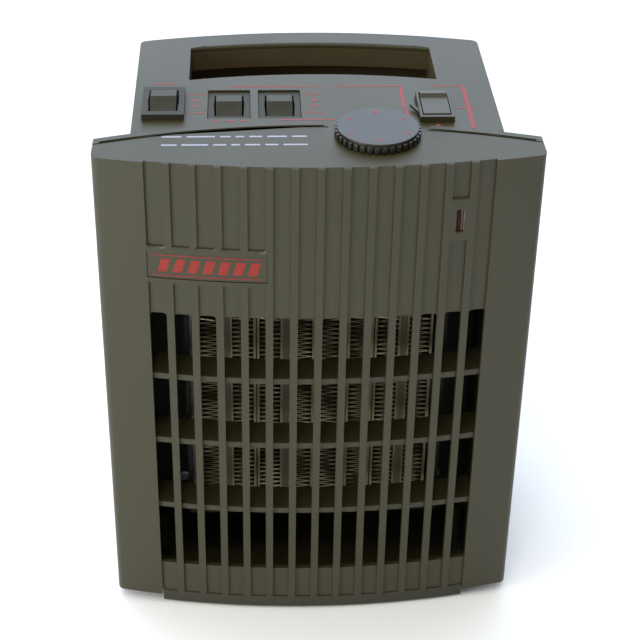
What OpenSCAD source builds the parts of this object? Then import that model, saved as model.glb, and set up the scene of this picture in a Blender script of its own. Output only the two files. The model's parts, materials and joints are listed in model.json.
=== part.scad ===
// Ceramic fan heater: an upright box with a bowed front grille, a ceramic heating
// block, an axial fan behind it, and its controls in the top face.
// Millimetres. Origin: centre of the footprint on the floor. +X right, -Y front, +Z up.

/* [Overall] */
// Width across the front cover
cover_w = 205; // [203:1:207]
// Height of the flat top face above the floor
top_z = 261.7; // [260:0.1:264]
// Distance from the cover's square front corners to the centre of the footprint
corner_depth = 62.9; // [62:0.1:64]
// How far the front face bows forward of its corners
front_bow = 12.5; // [12:0.1:13]
// Distance from the front corners to the middle of the rear wall
rear_depth = 138.3; // [137:0.1:140]
// Width of the body behind the cover
body_w = 172; // [170:1:174]
// How far the rear wall bows back of its corners
rear_bow = 10.8; // [10:0.1:12]
// Wall thickness of the mouldings
wall = 2.5; // [2.2:0.1:2.8]

/* [Front cover] */
// Spacing of the vertical ribs
rib_pitch = 11.55; // [11.4:0.05:11.6]
// Width of each grille slot and of the channel above it
slot_w = 8; // [7.6:0.1:8.4]
// How far the ribs stand out of the channels
rib_h = 1.3; // [1:0.1:1.6]
// Height of the slope at the top of each rib
rib_top = 0.6; // [0.4:0.1:1]
// Height of the lower end of the slots
slot_z0 = 28.1; // [26:0.1:30]
// Height of the upper end of the slots
slot_z1 = 182.3; // [180:0.1:184]
// Thickness of the cross blades behind the slots
blade_t = 3.1; // [2.8:0.1:3.4]
// Depth of the cross blades
blade_depth = 17; // [14:1:17]
// Lower edge of the cover's side panels
side_z = 6.5; // [6.3:0.1:7]

/* [Controls] */
// Radius of the thermostat dial
dial_r = 19.9; // [19:0.1:20.4]
// Height of the dial's top above the top face
dial_h = 4.8; // [4.4:0.1:5.4]
// Number of grip flutes round the dial
flutes = 36; // [24:4:48]
// Half of the rocker's travel, in degrees
rocker_tilt = 7; // [5:1:8]
// Number of degrees between the rocker's two faces and its base
rocker_face = 9; // [7:1:11]

/* [Heating block] */
// Spacing of the four ceramic heating units
unit_pitch = 29; // [28.8:0.1:29]
// Height of the heating units
unit_h = 114; // [108:1:116]
// Depth of the heating units from front to back
unit_depth = 14; // [10:1:14]
// Vertical pitch of the folded fins
fin_pitch = 4.2; // [3.8:0.2:6]

/* [Fan] */
// Height of the fan's axis
fan_z = 111; // [110:1:112]
// Radius over the blade tips
blade_r = 59; // [56:1:59.5]
// Number of fan blades
fan_blades = 5; // [3:1:7]

/* [Hidden] */

$fn = 48;
fine = 720;
eps = 0.01;
gap = 0.3;
far = 200;

// Bows in plan: each is an arc given by its half width and its rise.
function bow_r(half, rise) = (half * half + rise * rise) / (2 * rise);
// Distance behind the cover's front corners, as a Y coordinate.
function dep(d) = d - corner_depth;

half_cover = cover_w / 2;
half_body = body_w / 2;
front_r = bow_r(half_cover, front_bow);
front_c = dep(front_r - front_bow);
rear_r = bow_r(half_body, rear_bow);
rear_c = dep(rear_depth - rear_r);
// Y of the front face and of the rear face at a given X
function front_y(x) = front_c - sqrt(front_r * front_r - x * x);
function rear_y(x) = rear_c + sqrt(rear_r * rear_r - x * x);

// The seam between cover and housing is a third arc, bowed towards the rear.
seam_apex = 28.7;
seam_r = bow_r(half_cover, 16.8);
seam_c = dep(seam_apex - seam_r);
seam_gap = 1;
flange_t = 4.8;
function seam_y(x) = seam_c + sqrt(seam_r * seam_r - x * x);

inner_top = top_z - wall;
skin = rib_h + wall;
chin_z = 9.2;
chin_half = 79;
floor_z = chin_z + wall;

blade_set = 2;
blade_zs = [145.6, 107.1, 66.1];
blade_half = 80.5;

badge_x0 = -79.4;
badge_x1 = -24;
badge_z0 = 202;
badge_z1 = 216.1;
badge_frame_z = [199.5, 219.1];
badge_channels = 5;
badge_sink = 1;
badge_t = 0.5;

lamp_channel = 12;
lamp_pad_z = [221.5, 243.8];
lamp_x = 63.9;
lamp_w = 4;
lamp_z = [226.3, 237.9];
neon_r = 2.8;

boss_x = 94;
boss_zs = [26, 240];
boss_r = 4;
screw_r = 1.5;
screw_head_r = 3.2;
screw_head_h = 2;

bead_h = 0.5;
dial_x = 27.1;
dial_y = dep(19.9);
tongue_r = 24.2;
bush_r = 4.5;
spindle_r = 3;
spindle_fit = 0.07;

pocket_half = 60.4;
pocket_front = 87;
pocket_back = 124.1;
pocket_depth = 32;
bar_h = 12.3;
liner_t = 2;
handle_screw_x = 52;
handle_screw_z = top_z - 7;

window_half = 62;
window_z = [45, 177];
lip = 4;
grille_rows = 19;
grille_pitch = 6.6;
grille_slot = 3.2;

gland_x = 62;
gland_z = 24;
gland_r = 6.5;
gland_bore = 3.6;

post_x = 79;
post_ds = [36, 118];
post_r = 5;
plate_z = [3.8, 6.3];
base_z = 1.5;
base_half = 84.5;

// Rows of [x, depth, bezel width, bezel length, bezel rise, rocker width, rocker length]
SWITCHES = [[-71.7, 51.5, 19.7, 30, 3, 13.2, 20.6], [-41, 53.7, 19.7, 30, -1, 13.2, 20.6],
    [-17.1, 53.7, 19.7, 30, -1, 13.2, 20.6], [56, 47.2, 16, 28.4, 3, 13, 22.6]];
bezel_t = 1.5;
switch_wall = 1.3;
switch_depth = 20;
pivot_drop = 4;
pivot_r = 1.5;
pivot_fit = 0.07;
function body_hole(s) = [s[5] + 2 * gap + 2 * switch_wall, s[6] + 4.2];

duct_half = 62;
duct_t = 2.2;
duct_d = [12.5, 52];
frame_half = 61.8;
frame_t = 1.2;
block_d = 16;
cap_h = frame_half - frame_t - unit_h / 2;
plate_outer = 1.2;
plate_inner = 0.9;
strip_t = 3.4;
fin_w = 10.4;
fin_m = 0.75;
tab_t = 0.8;
tab_w = 6.3;
tab_x = (strip_t + plate_inner) / 2;
unit_xs = [for (i = [0:3]) (i - 1.5) * unit_pitch];

bulkhead_d = [52, 55];
bulkhead_half = 83.2;
bulkhead_z = [9, 200];
ring_r = 61.5;
ring_t = 2;
ring_end = 76;
spider_t = 3;
blade_d = [58, 73];
hub_r = 17;
core_d = [88, 104];
bridge_d = [79, 110];
bridge_t = 3;
motor_screw_x = 22;
motor_screw_r = 1.9;
shaft_r = 3;
bush_len = 7;
bush_out = 5;
rotor_r = 12;
limb_z = 37;

// ---- helpers -------------------------------------------------------------

module disc(c, r) {
    translate([0, c]) circle(r = r, $fn = fine);
}

module front_disc(inset = 0) {
    disc(front_c, front_r - inset);
}

module rear_disc(inset = 0) {
    disc(rear_c, rear_r - inset);
}

module strip(x0, x1) {
    translate([x0, -far]) square([x1 - x0, 2 * far]);
}

module slab(z0, z1) {
    translate([0, 0, z0]) linear_extrude(z1 - z0) children();
}

// Plan outline with straight sides and one bowed end whose corners are rounded.
module bowed_plan(half, c, r, corner, way) {
    k = half - corner;
    y = c + way * sqrt(pow(r - corner, 2) - k * k);
    t = k * r / (r - corner);
    intersection() {
        disc(c, r);
        strip(-t, t);
    }
    for (s = [-1, 1]) translate([s * k, y]) circle(r = corner);
    translate([-half, way > 0 ? y - far : y]) square([2 * half, far]);
}

// Box given by its two corners.
module box(a, b) {
    translate(a) cube(b - a);
}

// Cylinder along Y from depth d0 to depth d1.
module y_rod(x, z, d0, d1, r) {
    translate([x, dep(d0), z]) rotate([-90, 0, 0]) cylinder(r = r, h = d1 - d0);
}

// Plate in the XZ plane, from depth d0 to depth d1; the children are drawn as (x, z).
module upright(d0, d1) {
    translate([0, dep(d1), 0]) rotate([90, 0, 0]) linear_extrude(d1 - d0) children();
}

// Band that follows the front face between two insets.
module front_band(x0, x1, z0, z1, i0, i1) {
    slab(z0, z1) difference() {
        intersection() {
            front_disc(i0);
            translate([x0, -far]) square([x1 - x0, far]);
        }
        front_disc(i1);
    }
}

// Band that follows the rear wall between two insets.
module rear_band(half, z0, z1, i0, i1) {
    slab(z0, z1) difference() {
        intersection() {
            rear_disc(i0);
            translate([-half, 0]) square([2 * half, far]);
        }
        rear_disc(i1);
    }
}

function unit(v) = v / norm(v);

// Direction of a run of points at one of them: halfway between its two neighbours' directions.
function heading(p, i) = unit((i < len(p) - 1 ? unit(p[i + 1] - p[i]) : [0, 0, 0])
    + (i > 0 ? unit(p[i] - p[i - 1]) : [0, 0, 0]));

// Wire swept along a list of points.
module wire(p, r = 1.2, sides = 8) {
    n = len(p);
    side_way = unit([0.3, 0.8, 0.5]);
    rings = [for (i = [0:n - 1])
        let (t = heading(p, i), u = unit(cross(t, side_way)), v = cross(t, u))
        for (k = [0:sides - 1]) p[i] + r * (cos(360 * k / sides) * u + sin(360 * k / sides) * v)];
    walls = [for (i = [0:n - 2], k = [0:sides - 1])
        let (a = i * sides + k, b = i * sides + (k + 1) % sides)
        each [[a, a + sides, b], [b, a + sides, b + sides]]];
    caps = [[for (k = [0:sides - 1]) k], [for (k = [sides - 1:-1:0]) (n - 1) * sides + k]];
    polyhedron(points = rings, faces = concat(walls, caps));
}

// ---- front cover ---------------------------------------------------------

function channel_x(i) = (i - 6.5) * rib_pitch;

module channel_cut(i, z0, z1) {
    slab(z0, z1) difference() {
        translate([channel_x(i) - slot_w / 2, -far]) square([slot_w, far]);
        front_disc(rib_h);
    }
}

module channels() {
    for (i = [0:13]) {
        if (i < badge_channels) {
            channel_cut(i, chin_z - eps, badge_frame_z[0]);
            channel_cut(i, badge_frame_z[1], top_z + 1);
        } else if (i == lamp_channel) {
            channel_cut(i, chin_z - eps, lamp_pad_z[0]);
            channel_cut(i, lamp_pad_z[1], top_z + 1);
        } else {
            channel_cut(i, chin_z - eps, top_z + 1);
        }
    }
}

// Sloping top end of each rib.
module rib_tops() {
    for (i = [0:12]) difference() {
        translate([channel_x(i) + slot_w / 2 - eps, -far, top_z - rib_top])
            cube([rib_pitch - slot_w + 2 * eps, far, rib_top + 1]);
        translate([0, front_c, top_z - rib_top])
            cylinder(r1 = front_r, r2 = front_r - 2 * rib_h, h = 2 * rib_top, $fn = fine);
    }
}

module slot_shape() {
    corner = 2;
    h = slot_z1 - slot_z0;
    square([slot_w, h - corner]);
    translate([corner, 0]) square([slot_w - 2 * corner, h]);
    for (x = [corner, slot_w - corner]) translate([x, h - corner]) circle(r = corner);
}

module slots() {
    for (i = [0:13]) {
        translate([channel_x(i) - slot_w / 2, dep(1), slot_z0]) rotate([90, 0, 0])
            linear_extrude(30) slot_shape();
    }
}

module cover_plan() {
    intersection() {
        bowed_plan(half_cover, front_c, front_r, 4, -1);
        disc(seam_c, seam_r);
    }
}

module front_cover() color("#55574c") {
    difference() {
        union() {
            difference() {
                slab(side_z, top_z) cover_plan();
                slab(floor_z, inner_top) intersection() {
                    front_disc(skin);
                    strip(wall - half_cover, half_cover - wall);
                }
                box([-chin_half - gap, dep(-20), 0], [chin_half + gap, dep(40), chin_z]);
            }
            for (x = [-boss_x, boss_x], z = boss_zs)
                y_rod(x, z, front_y(x) + corner_depth + 2,
                    seam_y(boss_x + boss_r) + corner_depth, boss_r);
        }
        channels();
        rib_tops();
        slots();
        front_band(badge_x0, badge_x1, badge_z0, badge_z1, -2, badge_sink);
        box([lamp_x - lamp_w / 2, dep(-15), lamp_z[0]], [lamp_x + lamp_w / 2, dep(2), lamp_z[1]]);
        slab(inner_top - eps, top_z + 1) translate([dial_x, dial_y]) circle(r = tongue_r + gap);
        for (x = [-boss_x, boss_x], z = boss_zs)
            y_rod(x, z, 5, 30, screw_r);
    }
    for (z = blade_zs)
        front_band(-blade_half, blade_half, z - blade_t / 2, z + blade_t / 2,
            blade_set, blade_set + blade_depth);
}

module badge_plate() color("#4c4d44") {
    front_band(badge_x0 + 0.2, badge_x1 - 0.2, badge_z0 + 0.2, badge_z1 - 0.2,
        badge_sink - badge_t, badge_sink);
}

module lamp_lens() color("#5a1c10") {
    fit = 0.1;
    front_band(lamp_x - lamp_w / 2 + fit, lamp_x + lamp_w / 2 - fit,
        lamp_z[0] + fit, lamp_z[1] - fit, 0.8, skin + fit);
    front_band(lamp_x - lamp_w, lamp_x + lamp_w, lamp_z[0] - 2, lamp_z[1] + 2, skin + fit, skin + 1.3);
}

module pilot_lamp() color("#e0a070") {
    y = front_y(lamp_x) + skin + 2.2 + neon_r;
    translate([lamp_x, y, lamp_z[0]]) {
        cylinder(r = neon_r, h = 9);
        translate([0, 0, 9]) sphere(r = neon_r);
        for (s = [-1, 1]) translate([s, 0, -8]) cylinder(r = 0.4, h = 8, $fn = 16);
    }
}

// ---- housing -------------------------------------------------------------

// Area behind the seam.
module behind_seam(extra = 0) {
    difference() {
        translate([-far, dep(0)]) square([2 * far, far]);
        disc(seam_c, seam_r + seam_gap + extra);
    }
}

module body_plan(inset) {
    intersection() {
        bowed_plan(half_body - inset, rear_c, rear_r - inset, 4, 1);
        behind_seam();
    }
}

module ear_plan() {
    intersection() {
        behind_seam();
        disc(seam_c, seam_r + seam_gap + flange_t);
        union() {
            strip(-half_cover, wall - half_body);
            strip(half_body - wall, half_cover);
        }
    }
}

// Opening of the finger pocket: both long edges run parallel to the rear wall.
module pocket_plan(half, front, back) {
    intersection() {
        difference() {
            disc(rear_c, rear_r - rear_depth + back);
            disc(rear_c, rear_r - rear_depth + front);
        }
        translate([-half, 0]) square([2 * half, far]);
    }
}

module bead_plan() {
    intersection() {
        difference() {
            disc(seam_c, seam_r + seam_gap + 3.8);
            disc(seam_c, seam_r + seam_gap + 0.4);
        }
        translate([0, dep(0)]) union() {
            translate([3 - half_cover, 0]) square([half_cover, 60]);
            translate([52, 0]) square([half_cover - 55, 60]);
        }
    }
}

module switch_hole(s) {
    h = body_hole(s);
    translate([s[0] - h[0] / 2 - 0.2, dep(s[1]) - h[1] / 2 - 0.2, inner_top - 5])
        cube([h[0] + 0.4, h[1] + 0.4, 20]);
    if (s[4] < 0) {
        translate([s[0] - s[2] / 2 - 0.2, dep(s[1]) - s[3] / 2 - 0.2, inner_top])
            cube([s[2] + 0.4, s[3] + 0.4, 20]);
    }
}

module housing() color("#5b5f5f") {
    difference() {
        union() {
            difference() {
                slab(side_z, inner_top) body_plan(0);
                slab(side_z - 1, top_z) body_plan(wall);
                box([wall - half_body, dep(0), side_z - 1], [half_body - wall, dep(40), top_z]);
            }
            slab(side_z, top_z) ear_plan();
            slab(top_z - eps, top_z + bead_h) intersection() {
                ear_plan();
                bead_plan();
            }
            for (x = [-post_x, post_x], d = post_ds)
                translate([x, dep(d), side_z]) cylinder(r = post_r, h = 24);
        }
        box([-window_half, dep(110), window_z[0]], [window_half, dep(150), window_z[1]]);
        y_rod(gland_x, gland_z, 110, 150, gland_r + 0.1);
        for (x = [-1, 1] * handle_screw_x) y_rod(x, handle_screw_z, 126, 150, 1.8);
        for (x = [-boss_x, boss_x], z = boss_zs) y_rod(x, z, 5, 40, 2);
        for (x = [-post_x, post_x], d = post_ds)
            translate([x, dep(d), side_z - 1]) cylinder(r = screw_r, h = 18);
    }
}

// Top plate: flush with the ears, on the rim of the housing's walls.
module control_panel() color("#5b5f5f") {
    difference() {
        union() {
            slab(inner_top, top_z) difference() {
                body_plan(0);
                ear_plan();
            }
            slab(top_z - eps, top_z + bead_h) difference() {
                bead_plan();
                ear_plan();
            }
            slab(inner_top, top_z) translate([dial_x, dial_y]) circle(r = tongue_r);
            for (s = SWITCHES) if (s[4] < 0)
                translate([s[0] - s[2] / 2 - 2, dep(s[1]) - s[3] / 2 - 2, inner_top - 2])
                    cube([s[2] + 4, s[3] + 4, 2]);
        }
        for (s = SWITCHES) switch_hole(s);
        slab(inner_top - eps, top_z + 1) pocket_plan(pocket_half, pocket_front, pocket_back);
        slab(inner_top - 1, top_z + 1) translate([dial_x, dial_y]) circle(r = bush_r + 0.1);
    }
}

module handle_liner() color("#2e2a20") {
    z0 = top_z - pocket_depth;
    back = rear_depth - wall - 0.1;
    difference() {
        slab(z0 - liner_t, inner_top) pocket_plan(pocket_half + liner_t, pocket_front - liner_t, back);
        slab(z0, top_z) pocket_plan(pocket_half, pocket_front, pocket_back);
        slab(z0, top_z - bar_h) pocket_plan(pocket_half, pocket_front, back - liner_t);
        for (x = [-1, 1] * handle_screw_x)
            y_rod(x, handle_screw_z, rear_y(x) + corner_depth - 11, rear_depth, screw_r);
    }
}

module handle_screws() color("#3a3a38") {
    for (x = [-1, 1] * handle_screw_x)
        translate([x, rear_y(handle_screw_x - screw_head_r) + 0.1, handle_screw_z]) rotate([90, 0, 0])
            screw(10);
}

module rear_grille() color("#4a4c48") {
    rows = (grille_rows - 1) / 2;
    mid = (window_z[0] + window_z[1]) / 2;
    difference() {
        union() {
            rear_band(window_half - gap, window_z[0] + gap, window_z[1] - gap, 0, wall + 0.1);
            rear_band(window_half + lip, window_z[0] - lip, window_z[1] + lip, wall + 0.1, wall + 1.6);
        }
        for (k = [-rows:rows], s = [-1, 1])
            box([s * 31 - 28, dep(110), mid + k * grille_pitch - grille_slot / 2],
                [s * 31 + 28, dep(150), mid + k * grille_pitch + grille_slot / 2]);
    }
}

module dust_filter() color("#3b3b38") {
    rear_band(window_half, window_z[0], window_z[1], wall + 1.7, wall + 5.7);
}

// Outline of the base: narrow under the front cover, as wide as the body behind it.
module base_plan(inset) {
    side = chin_half - gap;
    intersection() {
        front_disc(1.6 + inset);
        rear_disc(1 + inset);
        strip(inset - side, side - inset);
    }
    intersection() {
        behind_seam(6 + inset);
        rear_disc(1 + inset);
        strip(inset - base_half, base_half - inset);
    }
}

module base_plate() color("#34342e") {
    side = chin_half - gap;
    difference() {
        union() {
            slab(base_z, plate_z[1]) base_plan(0);
            slab(plate_z[1] - 1, chin_z - 0.2) intersection() {
                difference() {
                    front_disc(0.8);
                    front_disc(3.4);
                }
                translate([-side, -far]) square([2 * side, far]);
            }
        }
        slab(base_z - 1, plate_z[0]) base_plan(1.8);
        for (x = [-1, 1], d = post_ds)
            translate([x * post_x, dep(d), 0]) cylinder(r = 2, h = 20);
    }
}

module feet() color("#1c1c1a") {
    for (x = [-62, 62], d = [14, 112]) translate([x, dep(d), 0]) {
        cylinder(r1 = 6.6, r2 = 7, h = 1.2);
        translate([0, 0, 1.2]) cylinder(r = 7, h = plate_z[0] - 1.2);
    }
}

module screw(len, r = screw_r - 0.02) {
    cylinder(r = r, h = len, $fn = 24);
    translate([0, 0, -screw_head_h]) difference() {
        cylinder(r = screw_head_r, h = screw_head_h, $fn = 32);
        translate([0, 0, -eps]) cylinder(r = 1.4, h = 1.1, $fn = 6);
    }
}

module cover_screws() color("#3a3a38") {
    for (x = [-boss_x, boss_x], z = boss_zs)
        translate([x, seam_y(boss_x - 3.5) + seam_gap + flange_t + 0.4, z]) rotate([90, 0, 0]) screw(14);
}

module base_screws() color("#8f9194") {
    for (x = [-post_x, post_x], d = post_ds)
        translate([x, dep(d), plate_z[0]]) screw(14);
}

// ---- heating block -------------------------------------------------------

module ring_plate(half, inner) {
    difference() {
        translate([-half, fan_z - half]) square(2 * half);
        translate([-inner, fan_z - inner]) square(2 * inner);
    }
}

module tab_places() {
    for (x = unit_xs, s = [-1, 1]) translate([x + s * tab_x, dep(block_d + unit_depth / 2), fan_z])
        children();
}

module tab_slots() {
    tab_places() translate([-tab_t / 2 - 0.2, -tab_w / 2 - 0.2, unit_h / 2])
        cube([tab_t + 0.4, tab_w + 0.4, 12]);
}

module air_duct() color("#25231d") {
    difference() {
        union() {
            upright(duct_d[0], duct_d[1]) ring_plate(duct_half + duct_t, duct_half);
            upright(duct_d[1] - 2, duct_d[1]) ring_plate(duct_half + 10, duct_half);
        }
        tab_slots();
        for (x = [-1, 1], z = [-1, 1])
            y_rod(x * (duct_half + 6), fan_z + z * (duct_half + 6), 48, 54, 1.7);
    }
}

module duct_screws() color("#8f9194") {
    for (x = [-1, 1], z = [-1, 1])
        translate([x * (duct_half + 6), dep(duct_d[1] - 2), fan_z + z * (duct_half + 6)])
            rotate([-90, 0, 0]) screw(7);
}

module heater_frame() color("#a7a9aa") {
    difference() {
        upright(block_d - 1, block_d + unit_depth + 1) ring_plate(frame_half, frame_half - frame_t);
        tab_slots();
    }
}

module ptc_end_caps() color("#cfc9b8") {
    inner = frame_half - frame_t;
    difference() {
        for (z = [fan_z - inner, fan_z + unit_h / 2])
            box([-inner, dep(block_d), z], [inner, dep(block_d + unit_depth), z + cap_h]);
        tab_slots();
    }
}

module unit_bar(x, w) {
    translate([x - w / 2, dep(block_d), fan_z - unit_h / 2]) cube([w, unit_depth, unit_h]);
}

module ptc_strips() color("#5d4a36") {
    for (x = unit_xs) unit_bar(x, strip_t);
}

module ptc_plates() color("#b9babb") {
    for (x = unit_xs, s = [-1, 1]) {
        unit_bar(x + s * (strip_t + plate_inner) / 2, plate_inner);
        unit_bar(x + s * (strip_t / 2 + plate_inner + fin_w + plate_outer / 2), plate_outer);
    }
}

// Folded strip: a zigzag whose folds touch both plates.
module fin_shape() {
    n = floor(unit_h / fin_pitch * 2 + eps);
    points = [for (k = [0:n]) [k % 2 == 0 ? fin_m : fin_w - fin_m, k * fin_pitch / 2]];
    polygon(concat([for (p = points) p - [fin_m, 0]],
        [for (k = [n:-1:0]) points[k] + [fin_m, 0]]));
}

module ptc_fins() color("#c6c7c4") {
    for (x = unit_xs, s = [-1, 1])
        translate([x + s * (strip_t / 2 + plate_inner + fin_w / 2) - fin_w / 2, 0, fan_z - unit_h / 2])
            upright(block_d, block_d + unit_depth) fin_shape();
}

// Leaf springs that press the stack together from both sides.
module ptc_springs() color("#8a8d90") {
    room = frame_half - frame_t - (unit_xs[3] + strip_t / 2 + plate_inner + fin_w + plate_outer);
    half = 50;
    t = 0.5;
    arch = [[-half, 0], [0, room - t], [half, 0], [half, t], [0, room], [-half, t]];
    for (s = [-1, 1]) upright(block_d + 2, block_d + unit_depth - 2)
        translate([s * (frame_half - frame_t), fan_z])
            polygon([for (p = arch) [-s * p[1], p[0]]]);
}

module ptc_tabs() color("#c9b37a") {
    tab_places() translate([-tab_t / 2, -tab_w / 2, unit_h / 2]) cube([tab_t, tab_w, 19]);
}

module thermal_cutout() color("#d8d4c8") {
    z = fan_z + duct_half + duct_t;
    translate([34, dep(41), z]) {
        cylinder(r = 8, h = 6);
        translate([0, 0, 6]) cylinder(r = 6.5, h = 4);
        for (s = [-1, 1]) translate([s * 4 - 0.4, -3, 10]) cube([0.8, 6, 8]);
    }
}

module thermal_fuse() color("#e6e2d6") {
    z = fan_z + duct_half + duct_t;
    translate([-44, dep(41), z + 3]) rotate([0, 90, 0]) {
        cylinder(r = 2.6, h = 16);
        translate([0, 0, -8]) cylinder(r = 0.6, h = 32, $fn = 16);
    }
}

// ---- fan -----------------------------------------------------------------

module fan_bulkhead() color("#3a3932") {
    spider_r = 30;
    difference() {
        union() {
            upright(bulkhead_d[0], bulkhead_d[1])
                translate([-bulkhead_half, bulkhead_z[0]])
                    square([2 * bulkhead_half, bulkhead_z[1] - bulkhead_z[0]]);
            y_rod(0, fan_z, bulkhead_d[0], ring_end, ring_r + ring_t);
        }
        y_rod(0, fan_z, bulkhead_d[0] - 1, ring_end + 1, ring_r);
        for (x = [-1, 1], z = [-1, 1])
            y_rod(x * (duct_half + 6), fan_z + z * (duct_half + 6), 48, 58, screw_r);
    }
    upright(ring_end, ring_end + spider_t) difference() {
        union() {
            translate([0, fan_z]) circle(r = spider_r);
            for (a = [45:90:315]) translate([0, fan_z]) rotate(a)
                translate([0, -3]) square([ring_r + 1.5, 6]);
        }
        translate([0, fan_z]) circle(r = 9);
        for (x = [-1, 1]) translate([x * motor_screw_x, fan_z]) circle(r = motor_screw_r + 0.1);
    }
}

module impeller() color("#d8d6cc") {
    d0 = blade_d[0] - 1;
    difference() {
        union() {
            y_rod(0, fan_z, d0, blade_d[1], hub_r);
            intersection() {
                y_rod(0, fan_z, blade_d[0], blade_d[1], blade_r);
                for (i = [0:fan_blades - 1]) translate([0, dep((blade_d[0] + blade_d[1]) / 2), fan_z])
                    rotate([0, i * 360 / fan_blades, 0]) translate([0, 0, hub_r - 1]) rotate([0, 0, 62])
                        translate([-1, -26, 0]) cube([2, 52, blade_r]);
            }
        }
        y_rod(0, fan_z, blade_d[0] + 2, blade_d[1] + 1, hub_r - 2);
        y_rod(0, fan_z, d0 - 1, blade_d[1] + 1, shaft_r + 0.02);
    }
    difference() {
        y_rod(0, fan_z, blade_d[0] + 1, blade_d[1], 6);
        y_rod(0, fan_z, d0 - 1, blade_d[1] + 1, shaft_r + 0.02);
    }
}

module impeller_clip() color("#b8babc") {
    difference() {
        y_rod(0, fan_z, blade_d[0] - 3, blade_d[0] - 1, 6);
        y_rod(0, fan_z, blade_d[0] - 4, blade_d[0], shaft_r + 0.02);
    }
}

module motor_shaft() color("#c4c6c8") {
    y_rod(0, fan_z, blade_d[0] - 4, 116, shaft_r);
}

module rotor() color("#9b9da0") {
    difference() {
        y_rod(0, fan_z, core_d[0] - 1, core_d[1] + 1, rotor_r);
        y_rod(0, fan_z, core_d[0] - 2, core_d[1] + 2, shaft_r + 0.02);
    }
}

// Laminated frame of a shaded-pole motor: bore below, coil limb above.
module motor_core() color("#6d7074") {
    upright(core_d[0], core_d[1]) difference() {
        translate([-26, fan_z - 22]) square([52, 64]);
        translate([0, fan_z]) circle(r = rotor_r + 0.5);
        translate([-15, fan_z + limb_z - 16]) square([30, 11]);
        for (x = [-1, 1]) translate([x * motor_screw_x, fan_z]) circle(r = motor_screw_r + 0.1);
    }
}

// Box-shaped sleeve round the coil limb, long in X.
module sleeve(half_x, outer, inner) {
    mid = (core_d[0] + core_d[1]) / 2;
    translate([0, dep(mid), fan_z + limb_z]) difference() {
        translate([-half_x, -outer[0] / 2, -outer[1] / 2]) cube([2 * half_x, outer[0], outer[1]]);
        translate([-half_x - 1, -inner[0] / 2, -inner[1] / 2]) cube([2 * half_x + 2, inner[0], inner[1]]);
    }
}

module motor_bobbin() color("#e7e2cf") {
    hole = [16.2, 10.2];
    sleeve(12.8, hole + [2, 2], hole);
    for (s = [-1, 1]) translate([s * 13.4, 0, 0]) sleeve(0.6, [34, 29], hole);
}

module motor_coil() color("#a9622f") {
    sleeve(12.7, [33, 28], [18.4, 12.4]);
}

module bridge(d, way) {
    leg = way > 0 ? [d - 6, d] : [d + bridge_t, d + bridge_t + 6];
    difference() {
        union() {
            upright(d, d + bridge_t) {
                translate([-26, fan_z - 6]) square([52, 12]);
                translate([0, fan_z]) circle(r = 9);
            }
            for (x = [-1, 1]) upright(leg[0], leg[1])
                translate([x * motor_screw_x - 4, fan_z - 6]) square([8, 12]);
        }
        y_rod(0, fan_z, d - 1, d + bridge_t + 1, bush_out);
        for (x = [-1, 1]) y_rod(x * motor_screw_x, fan_z, d - 8, d + 12, motor_screw_r + 0.1);
    }
}

module front_bridge() color("#b3b5b7") {
    bridge(bridge_d[0], -1);
}

module rear_bridge() color("#b3b5b7") {
    bridge(bridge_d[1], 1);
}

module motor_bearings() color("#b08d57") {
    for (d = bridge_d) difference() {
        y_rod(0, fan_z, d - 2, d - 2 + bush_len, bush_out);
        y_rod(0, fan_z, d - 3, d + bush_len, shaft_r + 0.06);
    }
}

module motor_screws() color("#8f9194") {
    end = bridge_d[1] + bridge_t;
    for (x = [-1, 1]) {
        y_rod(x * motor_screw_x, fan_z, ring_end - 0.5, end, motor_screw_r);
        y_rod(x * motor_screw_x, fan_z, end, end + 2.4, 3.5);
    }
}

// ---- controls ------------------------------------------------------------

module on_dial() {
    translate([dial_x, dial_y, top_z]) children();
}

module dial() color("#4b4d45") {
    skirt = 0.6;
    hollow = 3;
    on_dial() {
        difference() {
            union() {
                translate([0, 0, skirt]) cylinder(r = dial_r - 0.6, h = dial_h - skirt, $fn = 96);
                for (i = [0:flutes - 1]) rotate(i * 360 / flutes) translate([dial_r - 0.9, 0, skirt])
                    cylinder(r = 0.9, h = dial_h - 1.2 - skirt, $fn = 16);
            }
            cylinder(r = dial_r - 2.4, h = hollow, $fn = 96);
            cylinder(r = spindle_r + 0.02, h = dial_h - 0.9);
        }
        translate([0, 0, 2.6]) difference() {
            cylinder(r = 5.5, h = 1);
            translate([0, 0, -1]) cylinder(r = spindle_r + 0.02, h = 3);
        }
    }
}

module dial_spindle() color("#c4c6c8") {
    on_dial() translate([0, 0, -17]) cylinder(r = spindle_r, h = 17 + dial_h - 1);
}

module thermostat_body() color("#cdc8b8") {
    on_dial() difference() {
        union() {
            translate([-16, -13, -wall - 16]) cube([32, 26, 16]);
            cylinder(r = bush_r, h = 2.2);
            translate([0, 0, -wall - 1]) cylinder(r = bush_r, h = wall + 1.5);
            for (x = [-8, 8]) translate([x - 0.4, -3.2, -wall - 24]) cube([0.8, 6.4, 8.5]);
        }
        translate([0, 0, -18]) cylinder(r = spindle_r + spindle_fit, h = 30);
    }
}

module thermostat_nut() color("#b9a25f") {
    on_dial() difference() {
        cylinder(r = 7, h = 1.9, $fn = 6);
        translate([0, 0, -1]) cylinder(r = bush_r + 0.05, h = 4);
    }
}

module on_switch(s) {
    translate([s[0], dep(s[1]), top_z + s[4]]) children();
}

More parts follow.
